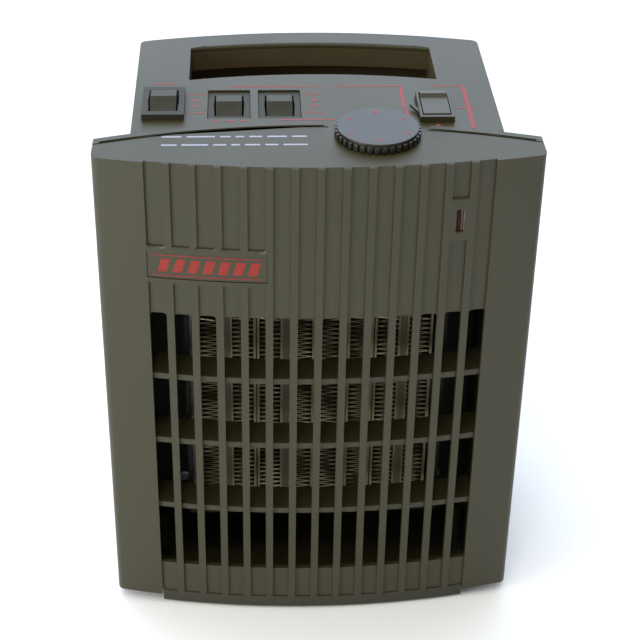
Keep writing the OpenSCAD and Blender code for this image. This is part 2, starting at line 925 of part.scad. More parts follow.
// Square moulding that snaps into the top face and carries one rocker.
module switch_housing(s) color("#5d6160") {
    h = body_hole(s);
    lower = s[4] > 0 ? s[4] : bezel_t;
    room = [s[5] + 2 * gap, s[6] + 1.8];
    on_switch(s) difference() {
        union() {
            translate([-s[2] / 2, -s[3] / 2, -lower]) cube([s[2], s[3], lower]);
            translate([-h[0] / 2, -h[1] / 2, -lower - switch_depth]) cube([h[0], h[1], switch_depth + eps]);
        }
        translate([-room[0] / 2, -room[1] / 2, -13]) cube([room[0], room[1], 14]);
        translate([-h[0] / 2 - 1, 0, -pivot_drop]) rotate([0, 90, 0])
            cylinder(r = pivot_r + pivot_fit, h = h[0] + 2);
    }
}

// The end switch also has a pointed wing on its left side.
module wing() color("#3b3d3a") {
    s = SWITCHES[3];
    on_switch(s) translate([-s[2] / 2, 0, -2.2]) linear_extrude(1.4)
        polygon([[0.01, -7.5], [-3.8, 1.2], [0.01, -2.8]]);
}

// Rocker with a raised ridge, tipped forward at rest.
module rocker(s) color("#50534f") {
    half = s[6] / 2;
    ridge = half * tan(rocker_face);
    on_switch(s) translate([0, 0, -pivot_drop]) rotate([rocker_tilt, 0, 0]) {
        translate([-s[5] / 2, 0, 0]) rotate([90, 0, 90]) linear_extrude(s[5])
            polygon([[-half, -2.5], [half, -2.5], [half, pivot_drop], [0, pivot_drop + ridge],
                [-half, pivot_drop]]);
        translate([-s[5] / 2 - 1.2, 0, 0]) rotate([0, 90, 0]) cylinder(r = pivot_r, h = s[5] + 2.4);
    }
}

module switch_tabs() color("#c9b37a") {
    for (s = SWITCHES) {
        lower = s[4] > 0 ? s[4] : bezel_t;
        on_switch(s) for (y = [-8, 0, 8])
            translate([-3.15, y - 0.4, -lower - switch_depth - 8]) cube([6.3, 0.8, 8]);
    }
}

// ---- mains ---------------------------------------------------------------

module mains_gland() color("#1f1f1d") {
    out = rear_y(gland_x + gland_r) + corner_depth;
    back = rear_y(gland_x) + corner_depth;
    difference() {
        union() {
            y_rod(gland_x, gland_z, out - wall - 4, back + 2, gland_r);
            y_rod(gland_x, gland_z, back + 1.6, back + 3.6, gland_r + 2);
            y_rod(gland_x, gland_z, out - wall - 6, out - wall - 3, gland_r + 1.5);
        }
        y_rod(gland_x, gland_z, 110, 150, gland_bore);
    }
}

module terminal_block() color("#e4e0d2") {
    size = [30, 16, 14];
    translate([38, dep(96), plate_z[1] + 0.05]) difference() {
        cube(size);
        for (i = [0:2]) translate([5 + i * 10, size[1] / 2, 0]) {
            translate([0, -size[1], 6]) rotate([-90, 0, 0]) cylinder(r = 2, h = 2 * size[1]);
            translate([0, 0, 8]) cylinder(r = 2.4, h = 10);
        }
    }
}

// Internal leads; each list holds hand-chosen corners as [x, depth, z].
module lead(corners, colour) {
    color(colour) wire([for (p = corners) [p[0], dep(p[1]), p[2]]]);
}

module wiring() {
    side = 78;
    top = 215;
    tab_end = fan_z + unit_h / 2 + 20.2;
    key_1 = SWITCHES[0][0];
    key_2 = SWITCHES[1][0];
    key_3 = SWITCHES[2][0];
    key_4 = SWITCHES[3][0];
    lead([[43, 95, 12.3], [43, 88, 12.3], [side, 86, 30], [side, 80, top], [60, 66, 226],
        [key_4, 55, 232]], "#8a4a2a");
    lead([[53, 95, 12.3], [53, 84, 14], [-side, 88, 32], [-side, 78, top], [-72, 66, 226],
        [key_1, 60, 232]], "#2f4f8f");
    lead([[key_2, 61.7, 229.5], [key_2, 62, 214], [unit_xs[0] + tab_x, 48, 208],
        [unit_xs[0] + tab_x, 23, 200], [unit_xs[0] + tab_x, 23, tab_end]], "#c9c4b4");
    lead([[key_3, 61.7, 229.5], [key_3, 62, 214], [30, 46, 208], [30, 41, 194.5]], "#7d2a2a");
    lead([[19, 19.9, 234], [19, 24, 215], [unit_xs[2] - tab_x, 23, 200],
        [unit_xs[2] - tab_x, 23, tab_end]], "#2a2a2a");
    lead([[62.9, 1.1, 217.5], [62.9, 6, 205], [unit_xs[3] + tab_x, 20, 197],
        [unit_xs[3] + tab_x, 23, tab_end]], "#e0ddd0");
}

front_cover();
badge_plate();
lamp_lens();
pilot_lamp();
housing();
control_panel();
handle_liner();
rear_grille();
dust_filter();
base_plate();
feet();
cover_screws();
base_screws();
handle_screws();
air_duct();
duct_screws();
fan_bulkhead();
heater_frame();
ptc_end_caps();
ptc_strips();
ptc_plates();
ptc_fins();
ptc_springs();
ptc_tabs();
thermal_cutout();
thermal_fuse();
motor_core();
motor_bobbin();
motor_coil();
front_bridge();
rear_bridge();
motor_bearings();
motor_screws();
impeller();
impeller_clip();
rotor();
motor_shaft();
thermostat_body();
thermostat_nut();
dial();
dial_spindle();
switch_housing(SWITCHES[0]);  // switch_housing_1
switch_housing(SWITCHES[1]);  // switch_housing_2
switch_housing(SWITCHES[2]);  // switch_housing_3
union() {  // switch_housing_4
    switch_housing(SWITCHES[3]);
    wing();
}
rocker(SWITCHES[0]);  // rocker_1
rocker(SWITCHES[1]);  // rocker_2
rocker(SWITCHES[2]);  // rocker_3
rocker(SWITCHES[3]);  // rocker_4
switch_tabs();
mains_gland();
terminal_block();
wiring();
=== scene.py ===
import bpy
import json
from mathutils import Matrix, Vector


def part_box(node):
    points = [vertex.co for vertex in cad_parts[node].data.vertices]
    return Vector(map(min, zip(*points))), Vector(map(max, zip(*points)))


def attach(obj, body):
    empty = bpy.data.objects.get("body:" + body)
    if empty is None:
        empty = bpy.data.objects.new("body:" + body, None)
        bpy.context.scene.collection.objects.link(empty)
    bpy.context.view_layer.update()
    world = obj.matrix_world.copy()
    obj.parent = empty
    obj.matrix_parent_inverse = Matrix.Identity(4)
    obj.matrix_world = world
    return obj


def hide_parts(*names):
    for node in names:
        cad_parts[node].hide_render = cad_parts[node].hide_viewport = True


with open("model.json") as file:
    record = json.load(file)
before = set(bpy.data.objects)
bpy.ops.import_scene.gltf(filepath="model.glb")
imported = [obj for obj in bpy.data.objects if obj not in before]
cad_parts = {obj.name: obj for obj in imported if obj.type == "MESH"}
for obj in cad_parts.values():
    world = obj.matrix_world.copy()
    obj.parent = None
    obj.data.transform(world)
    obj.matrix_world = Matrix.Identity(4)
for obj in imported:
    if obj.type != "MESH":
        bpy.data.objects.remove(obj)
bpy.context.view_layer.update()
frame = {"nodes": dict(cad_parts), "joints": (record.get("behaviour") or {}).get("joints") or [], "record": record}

import json
import math

import bmesh
import bpy
from mathutils import Matrix, Vector

bl_info = {
    "name": "Ceramic Fan Heater",
    "version": (1, 0, 0),
    "blender": (4, 5, 0),
    "location": "3D View > Sidebar > Heater",
    "description": "Finishes the mouldings, controls, heating block and stage of a ceramic fan heater",
    "category": "Object",
}

MM = 0.001
BODY_OF = {node: body for body, nodes in frame["record"]["behaviour"]["bodies"].items() for node in nodes}
PIVOT_OF = {joint["name"]: joint["pos_m"] for joint in frame["joints"]}

COVER_LOW, COVER_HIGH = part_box("front_cover")
DIAL_LOW, DIAL_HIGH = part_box("dial")
TOP_Z = COVER_HIGH.z
DIAL_CENTRE = (DIAL_LOW + DIAL_HIGH) / 2
TONGUE_R = 24.2 * MM
NEAR = 0.01 * MM


def linear(hex_colour):
    """Turn an sRGB hex colour such as "#50503f" into linear red, green and blue."""
    channels = [int(hex_colour[i:i + 2], 16) / 255 for i in (1, 3, 5)]
    return [c / 12.92 if c <= 0.04045 else ((c + 0.055) / 1.055) ** 2.4 for c in channels]


# ---- settings ----------------------------------------------------------------


def colour_setting(name, description, hex_colour):
    """A colour property, given as sRGB hex."""
    return bpy.props.FloatVectorProperty(name=name, description=description, default=linear(hex_colour),
                                         subtype="COLOR")


def length_setting(name, description, millimetres):
    """A length property, given in millimetres."""
    return bpy.props.FloatProperty(name=name, description=description, default=millimetres * MM,
                                   unit="LENGTH")


def angle_setting(name, description, degrees):
    """An angle property, given in degrees."""
    return bpy.props.FloatProperty(name=name, description=description, default=math.radians(degrees),
                                   subtype="ANGLE")


class HeaterColours(bpy.types.PropertyGroup):
    """Colours of the mouldings and the print"""
    cover: colour_setting("Cover", "Colour of the front cover's ABS", "#35321e")
    housing: colour_setting("Housing", "Colour of the housing's ABS", "#35321e")
    keys: colour_setting("Keys", "Colour of the three ridged rockers", "#2b2815")
    dark: colour_setting("Finger pocket", "Colour of the finger pocket's liner", "#483e28")
    print_red: colour_setting("Red print", "Colour of the marks on the control panel and the dial", "#8f3f3c")
    badge_red: colour_setting("Badge red", "Colour of the bars on the badge", "#8c2f2a")


class HeaterShell(bpy.types.PropertyGroup):
    """Measures of the cover, the housing and the control panel"""
    edge: length_setting("Edge radius", "Radius on the mouldings' edges", 0.35)
    front_bow: length_setting("Front bow", "How far the front face bows forward of its corners", 12.5)
    bar_edge: length_setting("Bar edge", "Radius of the finger bar's front top edge", 1.5)
    tongue_gap: length_setting("Tongue gap", "Width of the joint round the dial that the lip closes", 0.3)
    film: length_setting("Ink film", "Thickness of the printed marks", 0.06)


class HeaterDial(bpy.types.PropertyGroup):
    """Measures of the thermostat dial"""
    flutes: bpy.props.IntProperty(
        name="Flutes", description="Number of grip ribs round the dial", default=36, min=12, max=60)
    flute_depth: length_setting("Rib height", "How far each grip rib stands out", 1.1)
    ledge: length_setting("Ledge", "How far below the dial's top the grip ribs end", 1.3)
    rim: length_setting("Rim bevel", "Width of the bevel round the top", 0.25)


class HeaterSwitches(bpy.types.PropertyGroup):
    """Measures of the rockers and their bezels"""
    tilt: angle_setting("Tilt", "How far a ridged rocker leans at rest", 7)
    face: angle_setting("Face angle", "Angle between each half of a rocker and its base", 12)
    pivot_drop: length_setting("Pivot drop", "Distance of the pivot below the bezel", 4)
    pin: length_setting("Pivot pin", "Length of the pivot pin on each side", 1.2)
    slimmer: length_setting("Side play", "How much slimmer than its room a ridged rocker is, each side", 0.45)
    shorter: length_setting("End play", "How much shorter than its room a ridged rocker is, each end", 0.8)
    swing_room: length_setting("Swing room", "Room behind the flat paddle for its end to swing down", 1.3)
    dish: length_setting("Finger dish", "How far the middle of each half is hollowed", 0.25)
    side_gap: length_setting("Side gap", "Width of the curved gap beside a rocker, at its middle", 0.6)


class HeaterBlock(bpy.types.PropertyGroup):
    """Measures of the ceramic heating block"""
    units: bpy.props.IntProperty(
        name="Units", description="Number of ceramic strips in the heating block", default=4)
    strip: length_setting("Strip", "Thickness of a ceramic strip", 3.4)
    inner_plate: length_setting("Contact plate", "Thickness of the plate on each side of a strip", 0.9)
    fin_width: length_setting("Fin width", "Width of a folded fin", 10.4)
    fin_pitch: length_setting("Fin pitch", "Distance from one fold to the next on the same side", 2.7)
    foil: length_setting("Foil", "Thickness of the fin's aluminium", 0.4)


SETTINGS = {
    "heater_colours": HeaterColours,
    "heater_shell": HeaterShell,
    "heater_dial": HeaterDial,
    "heater_switches": HeaterSwitches,
    "heater_block": HeaterBlock,
}


# ---- modelling helpers -------------------------------------------------------


def leave_edit_mode():
    """Go back to object mode, which also writes the edits to the mesh."""
    if bpy.context.object and bpy.context.object.mode == "EDIT":
        bpy.ops.object.mode_set(mode="OBJECT")


def choose(piece):
    """Leave edit mode and make one object the only selected one."""
    leave_edit_mode()
    bpy.ops.object.select_all(action="DESELECT")
    piece.select_set(True)
    bpy.context.view_layer.objects.active = piece


def start(name, primitive, **place):
    """Add a primitive with nothing else selected, name it and enter edit mode."""
    leave_edit_mode()
    bpy.ops.object.select_all(action="DESELECT")
    primitive(**place)
    piece = bpy.context.object
    piece.name = name
    bpy.ops.object.transform_apply(location=True, rotation=True, scale=True)
    bpy.ops.object.mode_set(mode="EDIT")
    return piece


def pick(piece, kind, test):
    """In edit mode, select only the vertices, edges or faces that pass a test."""
    bpy.ops.mesh.select_mode(type=kind)
    bpy.ops.mesh.select_all(action="DESELECT")
    mesh = bmesh.from_edit_mesh(piece.data)
    elements = {"VERT": mesh.verts, "EDGE": mesh.edges, "FACE": mesh.faces}[kind]
    for element in [element for element in elements if test(element)]:
        element.select_set(True)
    mesh.select_flush_mode()
    bmesh.update_edit_mesh(piece.data)


def middle(edge):
    """Middle point of an edge."""
    return (edge.verts[0].co + edge.verts[1].co) / 2


def rise_of(edge):
    """Height between an edge's two ends."""
    return abs(edge.verts[0].co.z - edge.verts[1].co.z)


def is_sharp(edge, angle=30):
    """True where two faces meet at more than an angle in degrees."""
    return len(edge.link_faces) == 2 and edge.calc_face_angle(0) > math.radians(angle)


def bevel(width, segments=2):
    """Bevel the picked edges."""
    bpy.ops.mesh.bevel(offset=width, segments=segments, affect="EDGES", clamp_overlap=True)


def shift(offset):
    """Move what is picked."""
    bpy.ops.transform.translate(value=offset)


def resize(factors, centre=(0, 0, 0)):
    """Scale what is picked about a centre."""
    bpy.ops.transform.resize(value=factors, center_override=centre)


def extrude(offset):
    """Extrude the picked faces or edges."""
    bpy.ops.mesh.extrude_region_move(TRANSFORM_OT_translate={"value": offset})


def slice_at(place, normal, **options):
    """Cut the whole mesh along a plane."""
    bpy.ops.mesh.select_all(action="SELECT")
    bpy.ops.mesh.bisect(plane_co=place, plane_no=normal, **options)


def apply_modifier(piece, kind, **values):
    """Add a modifier to an object and apply it."""
    choose(piece)
    modifier = piece.modifiers.new(kind.lower(), kind)
    for key, value in values.items():
        setattr(modifier, key, value)
    bpy.ops.object.modifier_apply(modifier=modifier.name)


def cut(piece, tool):
    """Cut a tool's solid out of a piece, and remove the tool."""
    apply_modifier(piece, "BOOLEAN", object=tool, operation="DIFFERENCE", solver="EXACT")
    bpy.data.objects.remove(tool)


def join(name, parts):
    """Join parts into one object."""
    choose(parts[0])
    for part in parts:
        part.select_set(True)
    bpy.ops.object.join()
    parts[0].name = name
    return parts[0]


def copy_of(part, name, matrix):
    """Copy a modelled part with its own mesh, placed by a matrix."""
    leave_edit_mode()
    twin = part.copy()
    twin.data = part.data.copy()
    twin.name = name
    twin.data.transform(matrix)
    bpy.context.collection.objects.link(twin)
    return twin


def face_outwards(piece):
    """Recalculate a closed mesh's normals."""
    choose(piece)
    bpy.ops.object.mode_set(mode="EDIT")
    bpy.ops.mesh.select_all(action="SELECT")
    bpy.ops.mesh.normals_make_consistent(inside=False)
    leave_edit_mode()


def finish_piece(piece, node, finish, replaces=(), smooth=30):
    """Smooth a piece, give it its finish, and let it ride with a CAD node's body."""
    choose(piece)
    bpy.ops.object.shade_smooth_by_angle(angle=math.radians(smooth))
    apply_modifier(piece, "WEIGHTED_NORMAL", keep_sharp=True, weight=100)
    piece.data.materials.clear()
    piece.data.materials.append(FINISHES[finish])
    for polygon in piece.data.polygons:
        polygon.material_index = 0
    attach(piece, BODY_OF[node])
    if replaces:
        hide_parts(*replaces)


def moulding(node, name):
    """Copy a CAD node as one clean skin, ready to have its edges shaped."""
    part = copy_of(frame["nodes"][node], name, Matrix.Identity(4))
    part.parent = None
    for key in list(part.keys()):
        del part[key]
    choose(part)
    bpy.ops.object.mode_set(mode="EDIT")
    bpy.ops.mesh.select_all(action="SELECT")
    bpy.ops.mesh.remove_doubles(threshold=0.001 * MM)
    bpy.ops.mesh.dissolve_limited(angle_limit=math.radians(0.3))
    leave_edit_mode()
    return part


def soften(part, radius):
    """Round all of a moulding's sharp edges by a small radius."""
    apply_modifier(part, "BEVEL", width=radius, segments=2, limit_method="ANGLE",
                   angle_limit=math.radians(30), use_clamp_overlap=True)


# ---- materials ---------------------------------------------------------------
# Patterns follow Object coordinates, in metres; sizes are real unless a finish says otherwise.


def add_node(owner, kind, values=None, links=None):
    """Add a shader node to a material or world, set its inputs and properties, link its inputs."""
    node = owner.node_tree.nodes.new(kind)
    for key, value in (values or {}).items():
        if isinstance(key, int) or key in node.inputs:
            node.inputs[key].default_value = value
        else:
            setattr(node, key, value)
    for key, socket in (links or {}).items():
        owner.node_tree.links.new(socket, node.inputs[key])
    return node


def new_material(name):
    """A material with an empty node tree, and the socket of its object coordinates."""
    material = bpy.data.materials.new(name)
    material.use_nodes = True
    material.node_tree.nodes.clear()
    return material, add_node(material, "ShaderNodeTexCoord").outputs["Object"]


def finish_material(material, values, links):
    """Add the surface shader, link it to the output and return the material."""
    shader = add_node(material, "ShaderNodeBsdfPrincipled", values, links)
    add_node(material, "ShaderNodeOutputMaterial", links={"Surface": shader.outputs["BSDF"]})
    return material


def shade(colour, factor=1):
    """A linear or sRGB hex colour made lighter or darker, with full alpha."""
    channels = linear(colour) if isinstance(colour, str) else colour
    return [min(1, c * factor) for c in channels] + [1]


def noise(material, place, size, detail=2.0):
    """Soft noise with features of about one size."""
    return add_node(material, "ShaderNodeTexNoise", {"Scale": 1 / size, "Detail": detail},
                    {"Vector": place}).outputs["Fac"]


def stretch(material, place, scale):
    """Object coordinates scaled by axis, for patterns drawn out one way."""
    return add_node(material, "ShaderNodeMapping", {"Scale": scale}, {"Vector": place}).outputs["Vector"]


def remap(material, value, limits):
    """Map a value from one range to another."""
    return add_node(material, "ShaderNodeMapRange", limits, {"Value": value}).outputs["Result"]


def blend(owner, share, first, second):
    """Blend two colours by a share; a colour is a list or another node's socket."""
    values, links = {"data_type": "RGBA"}, {0: share}
    for key, colour in ((6, first), (7, second)):
        (values if isinstance(colour, (list, tuple)) else links)[key] = colour
    return add_node(owner, "ShaderNodeMix", values, links).outputs[2]


def relief(material, height, strength, depth):
    """Bump from a height pattern of a given depth in millimetres."""
    return add_node(material, "ShaderNodeBump", {"Strength": strength, "Distance": depth * MM},
                    {"Height": height}).outputs["Normal"]


def moulded_plastic(name, colour, roughness=0.42, grain=0.35, gloss_level=0.4):
    """Moulded ABS or polyamide: a spark-eroded tool leaves a fine even grain, so light spreads into a
    satin sheen; the pigment and the gloss vary a little over a hand's width. The grain, in
    millimetres, is drawn a few times coarser than real so that it still shows."""
    material, place = new_material(name)
    clouds = noise(material, place, 60 * MM, 3.0)
    pits = noise(material, place, grain * MM)
    gloss = remap(material, clouds, {"To Min": roughness - 0.05, "To Max": roughness + 0.06})
    return finish_material(material, {"IOR": 1.53, "Specular IOR Level": gloss_level},
                           {"Base Color": blend(material, clouds, shade(colour, 0.95), shade(colour, 1.05)),
                            "Roughness": gloss, "Normal": relief(material, pits, 0.35, 0.02)})


def printed_ink(name, colour):
    """Pad-printed ink: a thin flat film with little sheen, a little uneven where the pad lifted."""
    material, place = new_material(name)
    speck = noise(material, place, 1.2 * MM, 3.0)
    worn = remap(material, speck, {"From Min": 0.35, "From Max": 0.7})
    return finish_material(material, {"Roughness": 0.5, "IOR": 1.48, "Specular IOR Level": 0.2},
                           {"Base Color": blend(material, worn, shade(colour, 1.05), shade(colour, 0.8)),
                            "Normal": relief(material, speck, 0.2, 0.01)})


def tinted_lens():
    """Transparent red-brown polycarbonate: dark, glossy, and a little streaked down its ribs."""
    material, place = new_material("red_polycarbonate")
    streaks = noise(material, stretch(material, place, (900, 900, 60)), 1)
    return finish_material(material, {"Roughness": 0.12, "IOR": 1.58, "Transmission Weight": 0.35,
                                      "Coat Weight": 0.5, "Coat Roughness": 0.08},
                           {"Base Color": blend(material, streaks, shade("#160603"), shade("#5c2415"))})


def neon_glass():
    """Clear glass bulb of a neon lamp, amber where the electrodes glow through it."""
    material, place = new_material("neon_glass")
    swirl = noise(material, place, 3 * MM)
    return finish_material(material, {"Roughness": 0.06, "IOR": 1.5, "Transmission Weight": 0.5},
                           {"Base Color": blend(material, swirl, shade("#d98a55"), shade("#f3c9a0"))})


def bare_metal(name, colour, roughness, streak, direction):
    """Rolled, turned or ground metal: fine parallel lines along the working direction, so the
    highlight is drawn out across them. streak is the lines' spacing in millimetres."""
    material, place = new_material(name)
    scale = [1 / (streak * MM) if axis in direction else 1 / (streak * 40 * MM) for axis in "XYZ"]
    lines = noise(material, stretch(material, place, scale), 1, 3.0)
    gloss = remap(material, lines, {"To Min": roughness - 0.08, "To Max": roughness + 0.1})
    return finish_material(material, {"Metallic": 1.0},
                           {"Base Color": blend(material, lines, shade(colour, 0.82), shade(colour, 1.08)),
                            "Roughness": gloss, "Normal": relief(material, lines, 0.25, 0.01)})


def fin_foil():
    """Folded aluminium foil, only part metallic, as heat and dust have dulled its faces. The colour holds a
    painted glint along the cut front edge, drawn about 0.5 mm deep so that the edge shows, and painted shade on
    the faces behind it."""
    material, place = new_material("rolled_aluminium_foil")
    depth = add_node(material, "ShaderNodeSeparateXYZ", links={0: place}).outputs["Y"]
    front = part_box("ptc_fins")[0].y
    # Painted glint: the colour is light up to 0.4 mm behind the front edge and fades to the painted shade by 0.7
    # mm.
    border = remap(material, depth, {"From Min": front + 0.4 * MM, "From Max": front + 0.7 * MM})
    # This noise, named dust, makes the painted glint lighter in some patches and duller in others: painted light
    # that varies patch by patch.
    dust = remap(material, noise(material, place, 11 * MM), {"From Min": 0.42, "From Max": 0.62})
    painted_glint = blend(material, dust, shade("#fff4d2"), shade("#8e8156"))
    # Behind the glint the faces are painted dark, a painted shade for the depth of the duct.
    return finish_material(material, {"Metallic": 0.3, "Roughness": 0.4},
                           {"Base Color": blend(material, border, painted_glint, shade("#3a3424"))})


def layered(name, colour, dark, pitch, axis, metallic, roughness):
    """Stacked sheets or wound wire: even dark lines between layers. pitch is in millimetres, drawn
    a little coarser than the real layers so that they still show."""
    material, place = new_material(name)
    bands = add_node(material, "ShaderNodeTexWave",
                     {"bands_direction": axis, "Scale": 0.314 / (pitch * MM), "Distortion": 0.6,
                      "Detail": 1.0}, {"Vector": place}).outputs["Fac"]
    return finish_material(material, {"Metallic": metallic, "Roughness": roughness},
                           {"Base Color": blend(material, bands, shade(dark), shade(colour)),
                            "Normal": relief(material, bands, 0.6, 0.12)})


def fired_ceramic(name, colour, speck_colour, roughness):
    """Pressed and fired ceramic: a dry matt body with fine specks and faint pressing marks."""
    material, place = new_material(name)
    specks = add_node(material, "ShaderNodeTexVoronoi", {"Scale": 1 / (0.9 * MM)}, {"Vector": place})
    dust = noise(material, place, 6 * MM, 4.0)
    spread = remap(material, specks.outputs["Distance"], {"From Min": 0.0, "From Max": 0.35})
    base = blend(material, dust, shade(colour, 0.85), shade(colour, 1.12))
    return finish_material(material, {"Roughness": roughness, "IOR": 1.6},
                           {"Base Color": blend(material, spread, shade(speck_colour), base),
                            "Normal": relief(material, dust, 0.3, 0.05)})


def open_foam():
    """Open-celled polyurethane foam with pores about 1.5 mm across: each pore's middle is painted dark, a painted
    shade in its hollow, and the struts between are lighter.
    """
    material, place = new_material("filter_foam")
    cells_and_pore_shade = add_node(material, "ShaderNodeTexVoronoi", {"Scale": 1 / (1.5 * MM)},
                     {"Vector": place}).outputs["Distance"]
    return finish_material(material, {"Roughness": 0.95},
                           # Painted shade: the colour is dark in the middle of each pore and light on the struts.
                           {"Base Color": blend(material, cells_and_pore_shade, shade("#0c0c0b"), shade("#3c3c38")),
                            "Normal": relief(material, cells_and_pore_shade, 0.8, 0.6)})


def soft_rubber():
    """Moulded rubber: nearly black, dusty and without a sharp highlight."""
    material, place = new_material("foot_rubber")
    dust = noise(material, place, 4 * MM, 5.0)
    return finish_material(material, {"Roughness": 0.78, "IOR": 1.52},
                           {"Base Color": blend(material, dust, shade("#161615"), shade("#2a2a27")),
                            "Normal": relief(material, dust, 0.3, 0.05)})


def wire_sleeves():
    """Silicone-sleeved leads in several colours, told apart by where they run."""
    material, place = new_material("silicone_sleeve")
    across = add_node(material, "ShaderNodeSeparateXYZ", links={0: place}).outputs["X"]
    side = remap(material, across, {"From Min": -80 * MM, "From Max": 80 * MM})
    sleeves = add_node(material, "ShaderNodeValToRGB", links={"Fac": side})
    ramp = sleeves.color_ramp
    ramp.interpolation = "CONSTANT"
    ramp.elements[0].color = shade("#2f4f8f")
    ramp.elements[1].position = 0.2
    ramp.elements[1].color = shade("#d6d1c2")
    for position, colour in ((0.42, "#8a2d2a"), (0.6, "#26262a"), (0.9, "#8a4a2a")):
        ramp.elements.new(position).color = shade(colour)
    return finish_material(material, {"Roughness": 0.5, "IOR": 1.43},
                           {"Base Color": sleeves.outputs["Color"],
                            "Normal": relief(material, noise(material, place, 2 * MM), 0.2, 0.05)})


def make_finishes(colours):
    """All the finishes, by name. Each is made once."""
    return {
        "cover": moulded_plastic("olive_abs", colours.cover, gloss_level=0.34),
        "housing": moulded_plastic("grey_abs", colours.housing, gloss_level=0.38),
        "dial": moulded_plastic("dark_olive_abs", "#1f1c0e", 0.38, gloss_level=0.57),
        "keys": moulded_plastic("olive_polyamide", colours.keys, gloss_level=0.15),
        "paddle": moulded_plastic("grey_polyamide", colours.housing, 0.36),
        "bezel": moulded_plastic("black_polyamide", "#2f2d22", 0.5, gloss_level=0.22),
        "base": moulded_plastic("dark_grey_abs", "#2e2c1e", 0.5),
        "duct": moulded_plastic("glass_filled_polyamide", "#1b1912", 0.6, gloss_level=0.2),
        "dark": moulded_plastic("dark_brown_abs", colours.dark, 0.55),
        "cream": moulded_plastic("cream_nylon", "#d8d2bd", 0.5, grain=0.5),
        "red_ink": printed_ink("red_pad_ink", colours.print_red),
        "badge_ink": printed_ink("badge_foil_ink", colours.badge_red),
        "white_ink": printed_ink("white_pad_ink", "#9ca0b0"),
        "lens": tinted_lens(),
        "neon": neon_glass(),
        "fins": fin_foil(),
        "plates": bare_metal("rolled_aluminium_sheet", "#857c60", 0.55, 0.3, "XY"),
        "mica": fired_ceramic("pressed_mica", "#3a3020", "#5a4a30", 0.6),
        "sheet": bare_metal("galvanised_sheet", "#6a6b68", 0.6, 0.4, "XZ"),
        "steel": bare_metal("zinc_plated_steel", "#a9abab", 0.32, 0.3, "Z"),
        "black_steel": bare_metal("blackened_steel", "#3a3a39", 0.45, 0.3, "Z"),
        "ground": bare_metal("ground_steel", "#c0c2c4", 0.2, 0.15, "Y"),
        "cast": bare_metal("die_cast_zinc", "#9fa1a2", 0.5, 1.2, "XYZ"),
        "brass": bare_metal("stamped_brass", "#c2a765", 0.35, 0.3, "Z"),
        "bronze": bare_metal("sintered_bronze", "#a98049", 0.5, 0.4, "XYZ"),
        "laminations": layered("lamination_edges", "#7a7c7e", "#2c2d2f", 0.7, "Y", 0.9, 0.45),
        "winding": layered("enamelled_wire", "#b4602a", "#4a2412", 0.6, "X", 0.8, 0.35),
        "ptc": fired_ceramic("ptc_ceramic", "#4c452e", "#332c1a", 0.75),
        "steatite": fired_ceramic("steatite", "#cfc9b8", "#a9a292", 0.6),
        "foam": open_foam(),
        "rubber": soft_rubber(),
        "sleeves": wire_sleeves(),
    }


FINISHES = {}
PADDLE = 4
HEAD_R = 3.2 * MM
CAD_FINISHES = {
    "badge_plate": "cover", "pilot_lamp": "neon", "dust_filter": "foam", "air_duct": "duct",
    "fan_bulkhead": "duct", "heater_frame": "sheet", "ptc_end_caps": "mica", "ptc_strips": "ptc",
    "ptc_plates": "plates", "ptc_springs": "sheet", "ptc_tabs": "brass", "thermal_cutout": "steatite",
    "thermal_fuse": "steatite", "motor_core": "laminations", "motor_bobbin": "cream",
    "motor_coil": "winding", "front_bridge": "cast", "rear_bridge": "cast", "motor_bearings": "bronze",
    "motor_screws": "steel", "impeller": "cream", "impeller_clip": "steel", "rotor": "laminations",
    "motor_shaft": "ground", "thermostat_body": "steatite", "thermostat_nut": "brass",
    "dial_spindle": "ground", "switch_tabs": "brass", "terminal_block": "cream", "wiring": "sleeves",
}


# ---- places worked out from the frame ----------------------------------------


def front_y(x, bow):
    """Y of the bowed front face, a circular arc, at a given X."""
    half = COVER_HIGH.x
    radius = (half * half + bow * bow) / (2 * bow)
    return COVER_LOW.y + radius - math.sqrt(radius * radius - x * x)


def corners(node, inset, axes):
    """The corner places of a group of like parts, inset from the group's box."""
    low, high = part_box(node)
    spots = [Vector((0, 0, 0))]
    for axis in axes:
        spots = [spot + Vector([value if i == axis else 0 for i in range(3)])
                 for spot in spots for value in (low[axis] + inset, high[axis] - inset)]
    return spots


# ---- operators ---------------------------------------------------------------


class HEATER_OT_finishes(bpy.types.Operator):
    """Make the finishes and give each CAD part that stays as it is its own"""
    bl_idname = "heater.finishes"
    bl_label = "Finishes"

    def execute(self, context):
        FINISHES.update(make_finishes(context.scene.heater_colours))
        for node, finish in CAD_FINISHES.items():
            mesh = frame["nodes"][node].data
            mesh.materials.clear()
            mesh.materials.append(FINISHES[finish])
        return {"FINISHED"}


class HEATER_OT_front_cover(bpy.types.Operator):
    """Round the edges of the ribbed front cover"""
    bl_idname = "heater.front_cover"
    bl_label = "Front cover"

    def execute(self, context):
        ribs_depth = 14 * MM
        lowest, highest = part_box("badge_plate")[1].z + 0.5 * MM, TOP_Z - 10 * MM

        def on_ledge(edge):
            point = middle(edge)
            if len(edge.link_faces) != 2 or not lowest < point.z < highest or edge.calc_length() < 1 * MM:
                return False
            upward = [face.normal.z for face in edge.link_faces]
            in_front = point.y < COVER_LOW.y + ribs_depth
            steep = min(abs(value) for value in upward) < 0.1
            return steep and max(upward) > 0.9 and in_front and edge.calc_face_angle_signed() > 0

        cover = moulding("front_cover", "cover_moulding")
        bpy.ops.object.mode_set(mode="EDIT")
        pick(cover, "EDGE", on_ledge)
        bevel(1.1 * MM, 3)
        soften(cover, context.scene.heater_shell.edge)
        finish_piece(cover, "front_cover", "cover", ["front_cover"])
        return {"FINISHED"}


